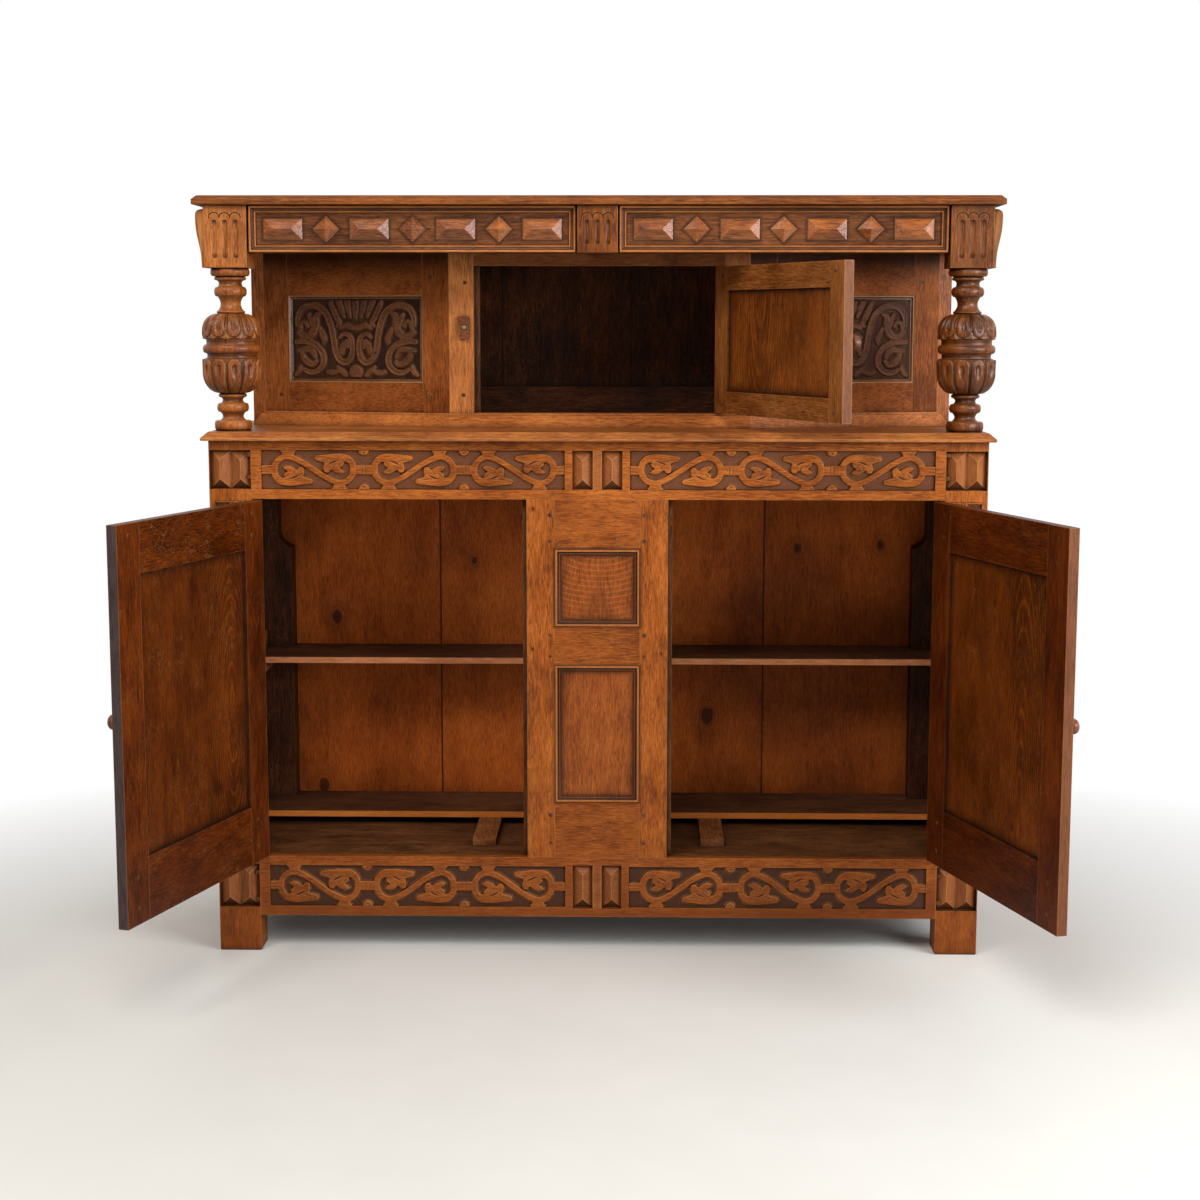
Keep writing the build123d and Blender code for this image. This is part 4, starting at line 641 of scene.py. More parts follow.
# ---- Middle board ----
# One wide oak board with a thumb moulding run along its front and ends, scuffed and spotted
# where things have stood on it.
ledge = 0.942
dress(wood("oak_middle_board", along_x, ((188, 116, 58), (154, 87, 40), (104, 55, 25)), start=10.5, wear_and_highlight=0.75,
           gloss=0.38, shine=0.3, reach=0.03, seam=0.2,
           rings=(((-0.19, 0.085, ledge), 0.034, 0.4), ((0.34, 0.07, ledge), 0.029, 0.35))), "middle_board")

# ---- Upper cupboard ----
# Stiles, rails and canted frames like those below, under the canopy's shadow, so less faded;
# the door space shows boards darkened almost to black.
upper_tones = ((208, 132, 72), (182, 110, 58), (124, 68, 34))
canted_tones = ((160, 91, 46), (135, 74, 36), (91, 48, 23))
# These upper parts carry a painted shadow of the canopy along their tops.
dress(wood("oak_upper_stiles", along_z, upper_tones, start=11.0, canopy_shadow=((1.205, 1.265, 0.6),)),
      "upper_stile_left", "upper_stile_right")
dress(wood("oak_upper_rails", along_x, ((192, 114, 58), (162, 90, 43), (108, 54, 25)), start=12.0,
           canopy_shadow=((1.170, 1.232, 0.6),)), "upper_front_rails")
dress(wood("oak_base_moulding", along_x, ((206, 124, 62), (176, 100, 48), (116, 60, 27)), start=13.0,
           wear_and_highlight=0.9), "base_moulding")
cant = math.radians(15.0)
for pieces, grain, start in (("stiles", along_z, 14.0), ("rails", along_x, 15.0)):
    dress(wood(f"oak_canted_{pieces}", grain, canted_tones, start=start, shine=0.05,
               canopy_shadow=((1.185, 1.248, 0.86),)), f"canted_{pieces}")
dress(wood("oak_end_boards", along_z, side_tones, start=16.0, wear_and_highlight=0.9), "upper_end_boards")
blackened = ((104, 58, 30), (68, 37, 20), (38, 21, 13))
dress(wood("oak_upper_back", along_z, blackened, start=17.0, wear_and_highlight=0.3, gloss=0.6,
           boards=(-0.446, -0.195, 0.056, 0.307)), "upper_back_boards")
dress(wood("oak_upper_back_rail", along_x, blackened, start=18.0, gloss=0.6), "upper_back_rail")

# ---- Carved panels of the canted sides ----
# Low relief in thin oak boards: a long ribbon that curls over a leaf at each side and round a
# pair of C scrolls in the middle, leaves hanging from the top and a half flower at the foot.
panel_ribbons = [flow(line) for line in (
    [(10, 98, 3.6), (11, 112, 4.4), (18, 126, 5.0), (31, 133, 5.4), (45, 134, 5.6), (58, 128, 5.8), (69, 117, 5.8),
     (75, 103, 5.8), (79, 90, 5.6), (82, 74, 5.4), (85, 54, 5.4), (90, 39, 5.2), (99, 30, 5.2), (109, 30, 5.2),
     (117, 40, 5.0), (120, 56, 4.6), (118, 71, 4.2), (111, 80, 3.8), (102, 81, 3.4), (95, 75, 2.8)],
    [(8, 67, 3.8), (23, 68, 5.0), (40, 64, 5.4), (54, 54, 5.4), (61, 40, 5.4), (60, 25, 5.2), (49, 13.5, 5.0),
     (34, 10.5, 4.6), (22, 16, 3.4)],
)]
panel_leaves = [flow(line) for line in (
    [(13, 84, 4.5), (22, 77, 6.0), (33, 77, 6.5), (42, 86, 7.0), (46, 100, 6.5), (46, 112, 5.5), (54, 119, 3.0)],
    [(42, 98, 6.0), (37, 108, 5.0), (33, 117, 3.0)],
    [(15, 92, 3.5), (18, 102, 3.5), (26, 103, 3.5), (30, 96, 3.5)],
    [(55, 92, 2.0), (58, 83, 4.6), (63, 73, 4.8), (62, 64, 2.0)],
    [(12, 50, 3.5), (22, 52, 5.0), (34, 53, 6.0), (42, 46, 5.0), (45, 38, 3.0)],
    [(18, 46, 3.0), (22, 36, 5.0), (30, 28, 5.5), (40, 25, 5.0), (47, 30, 3.0)],
    [(97, 46, 4.0), (100, 58, 5.2), (108, 67, 4.6), (110, 57, 3.0)],
    [(76, 139, 3.0), (82, 125, 5.4), (88, 112, 5.4), (94, 101, 3.6), (89, 96, 2.4)],
    [(93, 140, 5.2), (98, 127, 5.2), (103, 113, 2.6)],
    [(109, 141, 5.4), (112, 127, 5.2), (115, 112, 2.4)],
    [(126, 142, 6.2), (126, 126, 5.8), (126, 110, 2.6)],
    [(97, 92, 3.0), (107, 97, 4.6), (118, 93, 4.6), (126, 92, 4.6)],
    [(70, 11, 3.0), (79, 9, 4.2), (89, 12, 3.0)],
    [(90, 20, 2.6), (97, 13, 4.2), (104, 6, 4.0)],
    [(5, 6, 2.6), (12, 12, 4.0), (15, 22, 2.6)],
)]
panel_veins = [line * (1, 1, 0) + (0, 0, 0.55) for line in panel_leaves]
carved_width, carved_height, relief_depth = 252.0, 144.5, 4.6


def panel_relief(u, v):
    """The pattern drawn in from each end of the panel, its halves alike and meeting in the middle."""
    half, middle = np.minimum(u, carved_width - u), carved_width / 2
    bud = np.hypot(half - middle, v - 11) - 13.5
    stems = join(*[reach_to(half, v, ribbon) for ribbon in panel_ribbons]) - 0.7
    leaves = join(*[reach_to(half, v, line) for line in panel_leaves]) - 1.6
    raised = join(stems, leaves, bud)
    # Creases between leaves and stems and the foot of each wall are darkened: wax and painted shade.
    crease = ease(1.1, 0.2, np.abs(leaves - stems)) * ease(0.0, -0.8, raised)
    spokes = np.abs(np.sin(np.arctan2(half - middle, v - 2) * 3.5)) * 6 + nowhere * (bud > -1.5)
    veins = join(*[reach_to(half, v, vein) for vein in panel_veins])
    line = ease(0.5, -0.4, join(veins, spokes - 0.8)) * ease(-0.9, -2.2, join(leaves, bud))
    line = np.maximum(line, crease)
    foot = ease(-0.6, 0.3, raised) * ease(2.4, 0.6, raised)
    dome = 1.3 * ease(-4.5, 0.0, join(leaves, bud)) * (leaves < stems) + 0.5 * ease(-1.6, 0.0, raised)
    inside = ease(0.9, -1.0, raised)
    wall = ease(3.0, 0.4, np.minimum(half, np.minimum(v, carved_height - v)))
    cut = relief_depth - inside * (relief_depth - 0.5 - dome - 1.1 * ease(-1.4, -3.8, stems)) + line * 0.8
    return np.maximum(cut, wall * relief_depth), 1 - inside, np.maximum(line * 0.8, foot * 0.55)


upper_setback, cant_corner = 0.158, 0.2735
opening_width, opening_height, opening_foot, edge_width = 268.0, 160.5, 1.0215, 0.008
upper_face = case_front + upper_setback
shadow_ground = ((88, 54, 37), (60, 37, 26))
shadow_tones = ((114, 69, 42), (92, 54, 34), (60, 34, 22))
shadow_oak = wood("carved_oak_panels", along_x, shadow_tones, start=20.0, carved=shadow_ground, reach=0.007, wear_and_highlight=0.4,
                  seam=0.2)
edge_oak = wood("oak_panel_edges", along_x, ((150, 92, 54), (112, 66, 38), (72, 40, 24)), start=20.5,
                lined=True, reach=0.01, wear_and_highlight=1.0, shine=0.3, gloss=0.3, seam=0.0)
# The narrow section's dark marks are wax and painted shade; its bead is paled as a painted highlight.
narrow_section = [
    (-5.7, -7.0, 0.0), (-5.7, 0.0, 0.0), (0.2, 0.0, 1.0), (0.3, 3.8, 0.8), (0.6, 4.65, -0.3), (1.9, 4.65, -0.4),
    (2.4, 4.3, 0.0), (4.4, 1.7, 0.3), (5.0, 1.2, 0.9), (5.6, 1.5, 0.3), (6.4, 1.5, 0.2), (7.0, 0.8, 0.8),
    (8.0, 0.0, 1.0),
]
for hand, side in (("left", -1), ("right", 1)):
    slope = Vector((math.cos(cant), side * math.sin(cant), 0.0))
    outward = Vector((side * math.sin(cant), -math.cos(cant), 0.0))
    stile_corner = Vector((side * cant_corner, upper_face, 0.0))
    near = min(side * 0.051, side * 0.319)
    low_corner = stile_corner + slope * near - outward * panel_depth + Vector((0, 0, opening_foot))
    edge = mitred(f"panel_edges_{hand}", [(low_corner, slope, outward, opening_width, opening_height, tongue)],
                  narrow_section, True, edge_oak, "carcase", "oak_carved")
    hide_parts(f"carved_panel_{hand}")
    start = stile_corner + slope * (near + edge_width) - outward * 0.00105 + Vector((0, 0, opening_foot + edge_width))
    carve(f"panel_carving_{hand}", start, slope, outward, carved_width, carved_height, panel_relief, carved_grid,
          relief_depth + 0.3, shadow_oak, "oak_carved")

# ---- Cup-and-cover columns ----
# Turned from one length of oak: rings and hollows, a cup with hollowed gadroons below the
# band and a cover with hanging petals above it, both cut with a gouge after turning.
column_axis = Vector((0.647, case_front + 0.038, 0.0))
petal_count = 11


def ring(low, high, rest, full, steps=9):
    """A turned bead between two heights, swelling from rest to full."""
    angles = np.linspace(0.0, math.pi, steps)
    return [(low + (high - low) * (1 - math.cos(a)) / 2, rest + (full - rest) * math.sin(a) ** 0.8) for a in angles]


def hollow(low, high, below, above, waist, steps=8):
    """A turned neck that narrows to its waist."""
    return [(low + (high - low) * t, (below + (above - below) * t) * (1 - 4 * t * (1 - t)) + waist * 4 * t * (1 - t))
            for t in np.linspace(0.0, 1.0, steps)]


def bowl(low, high, stem, full, rising, steps):
    """A quarter round from a stem to a rim; the rim is above the stem when rising."""
    angles = np.linspace(0.0, math.pi / 2, steps)
    if rising:
        return [(low + (high - low) * (1 - math.cos(a)), stem + (full - stem) * math.sin(a)) for a in angles]
    return [(low + (high - low) * math.sin(a), stem + (full - stem) * math.cos(a)) for a in angles]


def zone(points, kind):
    """Marks a stretch of the profile as plain, cup or cover."""
    return [(z, radius, kind) for z, radius in points]


plain, cup, cover = 0, 1, 2
turned_profile = (
    zone([(942.2, 29.5)] + ring(943, 960.1, 29.5, 32.8) + [(960.4, 22.5)] + hollow(961.4, 973.4, 21.8, 20.8, 18.1)
         + [(974.3, 21.6)] + ring(975, 990.9, 22.5, 27.8) + [(991.2, 20.6)] + hollow(992, 1000.4, 19.6, 20.4, 17.6)
         + ring(1001, 1007.6, 21.4, 24.9), plain)
    + zone(bowl(1008.4, 1046.0, 23.5, 51.8, True, 44), cup)
    + zone([(z, 51.8) for z in np.linspace(1046.9, 1068.0, 24)] + [(1069.2, 51.2), (1069.9, 49.6)], cup)
    + zone([(1070.6, 43.2), (1073.5, 42.4), (1077.6, 43.4)] + ring(1078.4, 1093.6, 44.5, 50.3, 13)
           + [(1094.4, 44.2), (1098.5, 43.9), (1102.6, 44.6)], plain)
    + zone([(1103.4, 49.4), (1104.2, 50.7)] + [(z, 51.2) for z in np.linspace(1105, 1117.4, 14)], cover)
    + zone(bowl(1118.2, 1147.6, 23.5, 51.2, False, 40), cover)
    + zone(ring(1148.0, 1152.2, 23.2, 24.9, 7) + [(1152.8, 22.4)] + hollow(1153.4, 1175.6, 21.8, 21.4, 17.6, 12)
           + [(1176.3, 21.8)] + ring(1177, 1194.3, 22.6, 28.4) + [(1194.9, 21.6)]
           + hollow(1195.6, 1204.6, 21.0, 22.4, 19.8) + ring(1205.6, 1211.2, 25.0, 27.9, 7)
           + [(1211.8, 26.6)] + ring(1212.6, 1226.4, 30.0, 34.2), plain)
)


def gouged(kind, x, t, pitch):
    """Depth cut at x round from a petal's middle and t down from the rim; then the dark lines."""
    side = np.abs(x)
    half = pitch / 2
    if kind == cup:
        head = np.hypot(side, np.minimum(t - 14.5, 0.0))
        arch = half * 0.93 - head
        groove = np.exp(-((arch - 0.2) / 1.3) ** 2)
        spandrel = ease(0.3, -1.2, arch) * ease(20.0, 8.0, t)
        thumb = ease(1.0, 0.0, (side / (half * 0.40)) ** 2 + (np.where(t < 18, (t - 18) / 7.5, (t - 18) / 22)) ** 2)
        dots = join(*[np.hypot(half - side, t - row) - 1.15 for row in (10.5, 15.5, 20.5)])
        prick = ease(0.5, -0.4, dots)
        rib = 0.9 * (side / half) ** 2 * ease(10, 24, t)
        # The cup's grooves, thumbs, spandrels and ribs are darkened: wax and painted shade in the gouges.
        dark = np.maximum.reduce([groove * 0.85, prick, thumb * 0.55, spandrel * 0.35, rib * 0.35])
        return groove * 2.2 + spandrel * 1.5 + thumb * 3.2 + prick * 1.5 + rib, dark
    foot = np.hypot(side, np.minimum(t - (4.0 + half * 0.86), 0.0))
    petal = half * 0.86 - foot
    groove = np.exp(-((petal - 0.1) / 1.2) ** 2)
    between = ease(0.2, -1.2, petal) * ease(26.0, 14.0, t)
    drop = ease(1.6, -0.4, (half - side) * 1.6 + t - 8.5)
    slit = ease(1.0, 0.1, (side / (half * 0.46)) ** 2 + (np.where(t < 20, (t - 20) / 8.0, (t - 20) / 26)) ** 2)
    dots = join(*[np.hypot(half - side, t - row) - 1.0 for row in (15.5, 20.5)])
    prick = ease(0.5, -0.4, dots)
    ridge = ease(1.6, 0.2, side) * ease(14, 22, t)
    # The cover's grooves, slits and the ground between petals are darkened: wax and painted shade in the gouges.
    return (groove * 2.0 + between * 1.6 - drop * between * 1.5 + slit * (2.7 - ridge * 1.3) + prick * 1.2,
            np.maximum.reduce([groove * 0.85, prick, slit * 0.6, between * 0.3 - drop * 0.3]))


def turn_column(name, axis, material):
    """The turned profile swept round its axis, with its gadroons and petals cut in."""
    around = 264
    z, radius, kinds = (np.array(column) for column in zip(*turned_profile))
    run = np.concatenate([[0.0], np.cumsum(np.hypot(np.diff(z), np.diff(radius)))])
    slope_z, slope_r = np.gradient(z), np.gradient(radius)
    size = np.hypot(slope_z, slope_r)
    push_r, push_z = slope_z / size, -slope_r / size
    rims = {cup: run[kinds == cup].max(), cover: run[kinds == cover].min()}
    # Turned hollows darken by their depth: dirt and painted shade.
    beside = [max(min(radius[(z < a) & (z > a - 7)].max(initial=0), radius[(z > a) & (z < a + 7)].max(initial=0)), r)
              for a, r in zip(z, radius)]
    sunk = np.clip((beside - radius) / 5.0 - 0.15, 0.0, 0.75)
    turns = np.arange(around) * 2 * math.pi / around
    part = turns * petal_count / (2 * math.pi)
    offset = part - np.floor(part) - 0.5
    points, marks = [], []
    for k, kind in enumerate(kinds):
        depth, line = np.zeros(around), np.zeros(around)
        if kind != plain:
            pitch = 2 * math.pi * radius[k] / petal_count
            depth, line = gouged(kind, offset * pitch, np.full(around, abs(rims[kind] - run[k])), pitch)
            depth = depth * min(1.0, (radius[k] - 20.0) / 16.0)
        r, height = radius[k] - depth * push_r[k], z[k] - depth * push_z[k]
        points += [(axis.x + 0.001 * a * math.sin(t), axis.y - 0.001 * a * math.cos(t), 0.001 * b)
                   for a, b, t in zip(r, height, turns)]
        marks += np.clip(np.maximum(line, sunk[k]), 0, 1).tolist()
    rows = len(kinds)
    faces = [[k * around + j, k * around + (j + 1) % around, (k + 1) * around + (j + 1) % around, (k + 1) * around + j]
             for k in range(rows - 1) for j in range(around)]
    faces += [list(reversed(range(around))), [(rows - 1) * around + j for j in range(around)]]
    return add_piece(name, points, faces, material, "carcase", "turned_wood", marks, sharp=48)


# The right column's darker tones are painted shade.
for hand, side, tones in (("left", -1, ((174, 101, 43), (130, 69, 27), (78, 37, 14))),
                          ("right", 1, ((138, 76, 31), (100, 52, 19), (58, 28, 10)))):
    turned_oak = wood(f"turned_oak_{hand}", along_z, tones, start=22.0, lined=True, reach=0.010, wax_and_shade=0.95, wear_and_highlight=0.7,
                      gloss=0.27, shine=0.27, seam=0.1)
    column = turn_column(f"turned_column_{hand}", Vector((side * column_axis.x, column_axis.y, 0)), turned_oak)
    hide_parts(f"column_{hand}")

# ---- Canopy boards and frieze ----
# A moulded oak top board over a frieze rail, with jewels glued on it, rectangles and lozenges by
# turns. Wax, dust and painted shade darken the ground round each of them and the foot of each jewel.
dress(wood("oak_top_board", along_x, ((156, 90, 42), (128, 71, 32), (84, 43, 19)), start=24.0, wear_and_highlight=0.7, gloss=0.4,
           reach=0.03, seam=0.2), "top_board")
slanted, upward = (0.7071, 0.0, 0.7071), (-0.7071, 0.0, 0.7071)
jewel_height = 1.2932


def jewel_seats(spread):
    """The outline of each jewel: four rectangles and three lozenges on each side."""
    seats = []
    for places, way, up, wide, tall in (((0.0966, 0.2473, 0.398, 0.5487), along_x, along_z, 0.034, 0.018),
                                        ((0.1719, 0.3226, 0.4733), slanted, upward, 0.01655, 0.01655)):
        seats += [((side * x, 0.0, jewel_height), way, up, wide, tall, spread) for side in (-1, 1) for x in places]
    return tuple(seats)


dress(wood("oak_canopy_frieze", along_x, ((126, 76, 44), (98, 58, 33), (64, 36, 21)), start=25.0, wear_and_highlight=0.5, reach=0.012,
           wax_and_shade=1.0, shine=0.12, grime_and_shade=jewel_seats(0.0075)), "canopy_frieze")
dress(wood("oak_canopy_sides", along_y, side_tones, start=26.0), "canopy_sides")
dress(wood("oak_jewels", along_x, ((178, 104, 50), (142, 77, 34), (84, 43, 19)), start=27.0, wear_and_highlight=0.3, reach=0.01,
           wax_and_shade=1.0, gloss=0.27, shine=0.4, seam=0.0, grime_and_shade=jewel_seats(0.0032)), "jewels")

# ---- Bolection frames of the canopy's frieze ----
# A run moulding of a bead, a hollow and a small inner fillet, mitred at the corners and glued
# and pinned round each length of frieze.
# The dark marks at the edges and in the hollow are wax and painted shade; the bead and the inner fillet are paled as a
# painted highlight.
frame_section = [
    (0.0, 0.0, 1.0), (0.0, 6.0, 0.7), (0.4, 8.2, 0.2), (1.4, 9.6, -0.1), (2.8, 10.0, -0.2), (4.0, 9.5, 0.0),
    (4.8, 8.2, 0.2), (5.1, 6.4, 0.7), (5.8, 4.5, 0.85), (7.8, 3.3, 0.8), (9.9, 3.2, 0.8), (10.3, 4.0, 0.1),
    (11.6, 4.1, -0.1), (12.4, 3.5, 0.0), (12.8, 1.8, 0.6), (13.5, 0.0, 1.0),
]
frame_oak = wood("oak_frieze_frames", along_x, ((182, 102, 43), (138, 74, 30), (82, 40, 16)), start=28.0,
                 lined=True, wear_and_highlight=1.0, wax_and_shade=0.95, reach=0.008, gloss=0.34, shine=0.2, seam=0.0)
moulding_low, moulding_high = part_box("canopy_mouldings")
openings, from_middle = [], 0.03705
for side in (-1, 1):
    left, right = sorted((side * from_middle, side * moulding_high.x))
    openings.append((Vector((left, moulding_high.y, moulding_low.z)), along_x, to_front, (right - left) * 1000,
                     (moulding_high.z - moulding_low.z) * 1000, 0.0))
frames = mitred("frieze_frames", openings, frame_section, False, frame_oak, "carcase", "oak_front")
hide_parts("canopy_mouldings")

# ---- Fluted blocks of the canopy ----
# Solid oak blocks over the columns and in the middle, each with three gouged flutes and a row
# of linked arcs struck above them; the corner blocks are sawn to a console on the outside.


def fluted(width, tall, flute_low, flute_high, half, middle_dark):
    """Three flutes of a half width between two heights, darkest at their stops, and the arcs."""

    def design(u, v):
        cut, line, dark = np.zeros(u.shape), np.full(u.shape, nowhere), np.zeros(u.shape)
        for apart in (-18.5, 0.0, 18.5):
            x = u - width / 2 - apart
            run = np.clip(v, flute_low + half, flute_high - half)
            channel = ease(0.4, -3.2, np.hypot(x, v - run) - half)
            stop = np.clip(ease(12.0, 2.0, v - flute_low) + ease(14.0, 2.0, flute_high - v), 0, 1)
            cut = np.maximum(cut, channel * (1.5 + 1.5 * stop))
            # Each flute darkens towards its stops: wax and painted shade in the gouge.
            dark = np.maximum(dark, channel * (middle_dark + (0.9 - middle_dark) * stop))
            arc_foot = tall - 21.5
            arc = np.abs(np.hypot(x, (v - arc_foot) * 1.15) - 9.2) - 0.85
            line = np.minimum(line, np.where(v > arc_foot - 1.5, arc, nowhere))
        scored = ease(0.6, -0.4, line)
        border = np.minimum(np.minimum(u, width - u), np.minimum(v, tall - v))
        cut = np.maximum(cut, scored * 1.3) + 0.8 * ease(1.6, 0.0, border)
        return cut, np.zeros(u.shape), np.maximum(scored, dark)

    return design


def add_block(node, left, bottom, width, tall, flutes, block_oak):
    """The block behind its cut face, and the face in front of it, as one piece."""
    skin, grid = 3.25, 0.6
    shape = bmesh.new()
    shape.from_mesh(nodes[node].data)
    bmesh.ops.remove_doubles(shape, verts=shape.verts, dist=1e-6)
    everything = shape.verts[:] + shape.edges[:] + shape.faces[:]
    bmesh.ops.bisect_plane(shape, geom=everything, plane_co=(0, case_front + skin * 0.001, 0), plane_no=to_front,
                           clear_outer=True)
    bmesh.ops.holes_fill(shape, edges=[edge for edge in shape.edges if edge.is_boundary])
    bmesh.ops.recalc_face_normals(shape, faces=shape.faces)
    mesh = bpy.data.meshes.new(f"{node}_body")
    shape.to_mesh(mesh)
    shape.free()
    mesh.materials.append(block_oak)
    for key in ("ground", "line"):
        mesh.attributes.new(key, "FLOAT", "POINT")
    body = bpy.data.objects.new(f"{node}_body", mesh)
    bpy.context.scene.collection.objects.link(body)
    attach(body, "carcase")
    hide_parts(node)
    carve(f"{node}_face", on_front(left, bottom), along_x, to_front, width, tall,
          fluted(width, tall, *flutes), grid, skin, block_oak, "oak_front")


corner_sizes, corner_flutes = (1226.5, 75.0, 107.5), (15.0, 82.5, 5.4, 0.10)
centre_sizes, centre_flutes = (1252.5, 70.5, 81.5), (13.0, 56.5, 4.2, 0.35)
shaded_end = (((-1, 0, 0), anywhere, (84, 50, 30), (124, 78, 46)),)
# The right corner block's darker tones are painted shade.
for node, name, tones, start, edged, left, sizes, flutes in (
        ("corner_block_left", "left", ((186, 114, 62), (154, 90, 45), (96, 51, 25)), 29.0, shaded_end,
         -685.0, corner_sizes, corner_flutes),
        ("corner_block_right", "right", ((134, 78, 38), (104, 58, 27), (66, 34, 15)), 29.5, (),
         610.0, corner_sizes, corner_flutes),
        ("centre_block", "centre", ((152, 86, 40), (122, 67, 29), (76, 38, 17)), 30.0, (),
         -35.25, centre_sizes, centre_flutes)):
    block_oak = wood(f"oak_{name}_block", along_z, tones, start=start, lined=True, reach=0.012, wear_and_highlight=0.7, seam=0.2,
                     edged=edged)
    add_block(node, left, *sizes, flutes, block_oak)

# ---- Doors ----
# Framed oak doors, darker inside than the case is outside, the lower panels of flaming
# crown-cut board with water stains; each swings on two butts let into its edge.
lower_swing, upper_swing = math.radians(107.0), math.radians(115.0)
pivot_inset, side_play = 0.0025, 0.00075
lower_pivot = Vector((0.60925, case_front - pivot_inset, 0.0))
upper_pivot = Vector((0.22775, upper_face - pivot_inset, 0.0))
lower_sight, upper_sight = (65, 350, 0.2825, 457.5), (46, 364, 1.010, 179.5)
left_tones = ((114, 55, 16), (87, 39, 10), (50, 22, 7))
right_tones = ((106, 50, 15), (82, 36, 10), (48, 21, 7))
left_panel = ((113, 56, 17), (87, 41, 11), (48, 22, 7))
right_panel = ((122, 62, 20), (96, 47, 13), (56, 27, 9))
upper_door_tones = ((166, 104, 56), (136, 80, 38), (90, 49, 21))
upper_panel_tones = ((150, 83, 34), (120, 63, 23), (72, 35, 13))
grey_edge = ((48, 40, 40), (80, 70, 70))
pale_edge = ((76, 44, 27), (126, 78, 50))
outer_oak = ((112, 56, 22), (180, 101, 44))
outer_panel = ((96, 47, 20), (160, 88, 40))
outer_upper = ((136, 76, 38), (202, 126, 66))
# Each door's name, body, pivot, swing and hand, its panel's place and size, its colours and marks.
doors = (
    ("left", "lower_left_door", Vector((-lower_pivot.x, lower_pivot.y, 0)), -lower_swing, 1, lower_sight,
     left_tones, left_panel, grey_edge, outer_oak, outer_panel, 0.4,
     ((-0.643, -0.107, 0.48), 0.05, 0.21, 52.0), ((-0.646, -0.169, 0.342), 0.019, 0.55)),
    ("right", "lower_right_door", lower_pivot, lower_swing, -1, lower_sight,
     right_tones, right_panel, pale_edge, outer_oak, outer_panel, 0.15,
     ((0.708, -0.315, 0.30), 0.05, 0.34, 52.0), ((0.686, -0.30, 0.315), 0.012, 0.5)),
    ("upper", "upper_door", upper_pivot, upper_swing, -1, upper_sight,
     upper_door_tones, upper_panel_tones, pale_edge, outer_upper, outer_oak, 0.2,
     ((0.31, 0.02, 1.20), 0.05, 0.20, 44.0), ((0.287, 0.0, 1.12), 0.030, 0.3)),
)
for number, door in enumerate(doors):
    name, body, pivot, swing, hand, sight, frame_wood, panel_wood, edge, outer, outer_board, flakes, heart, blot = door
    swung = Matrix.Rotation(swing, 3, "Z")
    along, out = swung @ Vector((hand, 0, 0)), swung @ Vector(to_front)
    dress(wood(f"oak_{name}_door_stiles", along_z, frame_wood, start=31.0 + number, wear_and_highlight=1.1, flakes=flakes * 0.5,
               foot=0.3, edged=((tuple(along), pivot.dot(along) + 0.2, *edge), (tuple(out), anywhere, *outer))),
          f"{name}_door_stiles")
    dress(wood(f"oak_{name}_door_rails", tuple(along), frame_wood, start=35.0 + number, flakes=flakes, foot=0.9,
               edged=((tuple(out), anywhere, *outer),)), f"{name}_door_rails")
    corner = pivot + swung @ Vector((hand * (side_play + sight[0] * 0.001), pivot_inset + panel_depth, sight[2]))
    # Each door panel darkens round its edge: grime and painted shade.
    panel = mitred(
        f"{name}_moulded_door_panel", [(corner, along, out, sight[1], sight[3], tongue)], panel_section, True,
        wood(f"oak_{name}_door_panel", along_z, panel_wood, start=39.0 + number, figure=0.6, lined=True, reach=0.035,
             wax_and_shade=1.0, seam=0.0, crown=(heart,), blots_and_shadows=(blot,), edged=((tuple(out), anywhere, *outer_board),),
             grime_and_shade=((tuple(corner + (along * sight[1] + Vector((0, 0, sight[3]))) * 0.0005), tuple(along), along_z,
                     sight[1] * 0.0005, sight[3] * 0.0005, 0.02),)),
        body, "oak_door",
    )
    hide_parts(f"{name}_door_panel")
    dress(wood(f"turned_{name}_knob", along_z, ((150, 92, 54), (112, 64, 34), (66, 36, 20)),
               start=43.0 + number, wear_and_highlight=0.9, gloss=0.3, shine=0.4, reach=0.008, seam=0.0), f"{name}_door_knob")

# ---- Hinges, pins and turn button ----
# Hammered iron butts, browned and oily, let into the case and the doors, each with its pin; a
# whittled oak button turns on one rubbed iron screw.


def iron(name, pale, dark, polish):
    """Pitted iron, rusted brown in patches and black in its corners."""
    f = Finish(name)
    spot = f.node("TexCoord", out=3)
    patch = f.noise(spot, 1.0, 90.0, 5.0).over(0.42, 0.64)
    pit = f.node("TexVoronoi", {"Vector": spot, "Scale": 700.0})
    open_sky = f.node("AmbientOcclusion", {"Distance": 0.006}, {"samples": 4}, out=1)
    body = f.mix(patch, shade(*pale), shade(*dark))
    body = f.mix((1.0 - open_sky) * 0.8, body, shade(26, 20, 16))
    bump = f.node("Bump", {"Strength": 0.4, "Distance": 0.0003, "Height": pit + patch})
    return f.coat({"Base Color": body, "Metallic": 0.9 - patch * 0.5, "Roughness": patch * 0.3 + polish,
                   "Normal": bump})


hinge_iron = iron("browned_iron", (120, 104, 88), (62, 46, 36), 0.34)
bright_screw = iron("rubbed_screw", (150, 134, 108), (84, 68, 50), 0.3)
dress(hinge_iron, "case_hinge_leaves", "left_door_hinge_leaves", "right_door_hinge_leaves",
      "upper_door_hinge_leaves", "hinge_pins")
dress(bright_screw, "turn_button_screw")
dress(wood("whittled_button", along_x, ((146, 88, 54), (108, 62, 38), (64, 36, 23)), start=47.0,
           wear_and_highlight=0.6, wax_and_shade=1.0, reach=0.010), "turn_button")

# ---- Pegs ----
# Riven oak pegs through every joint, trimmed flush, end grain dark with wax; no two alike and
# none quite round.
peg_oak = wood("end_grain_pegs", along_y, ((112, 68, 40), (78, 46, 27), (44, 26, 17)), start=50.0,
               reach=0.003, wax_and_shade=0.6)


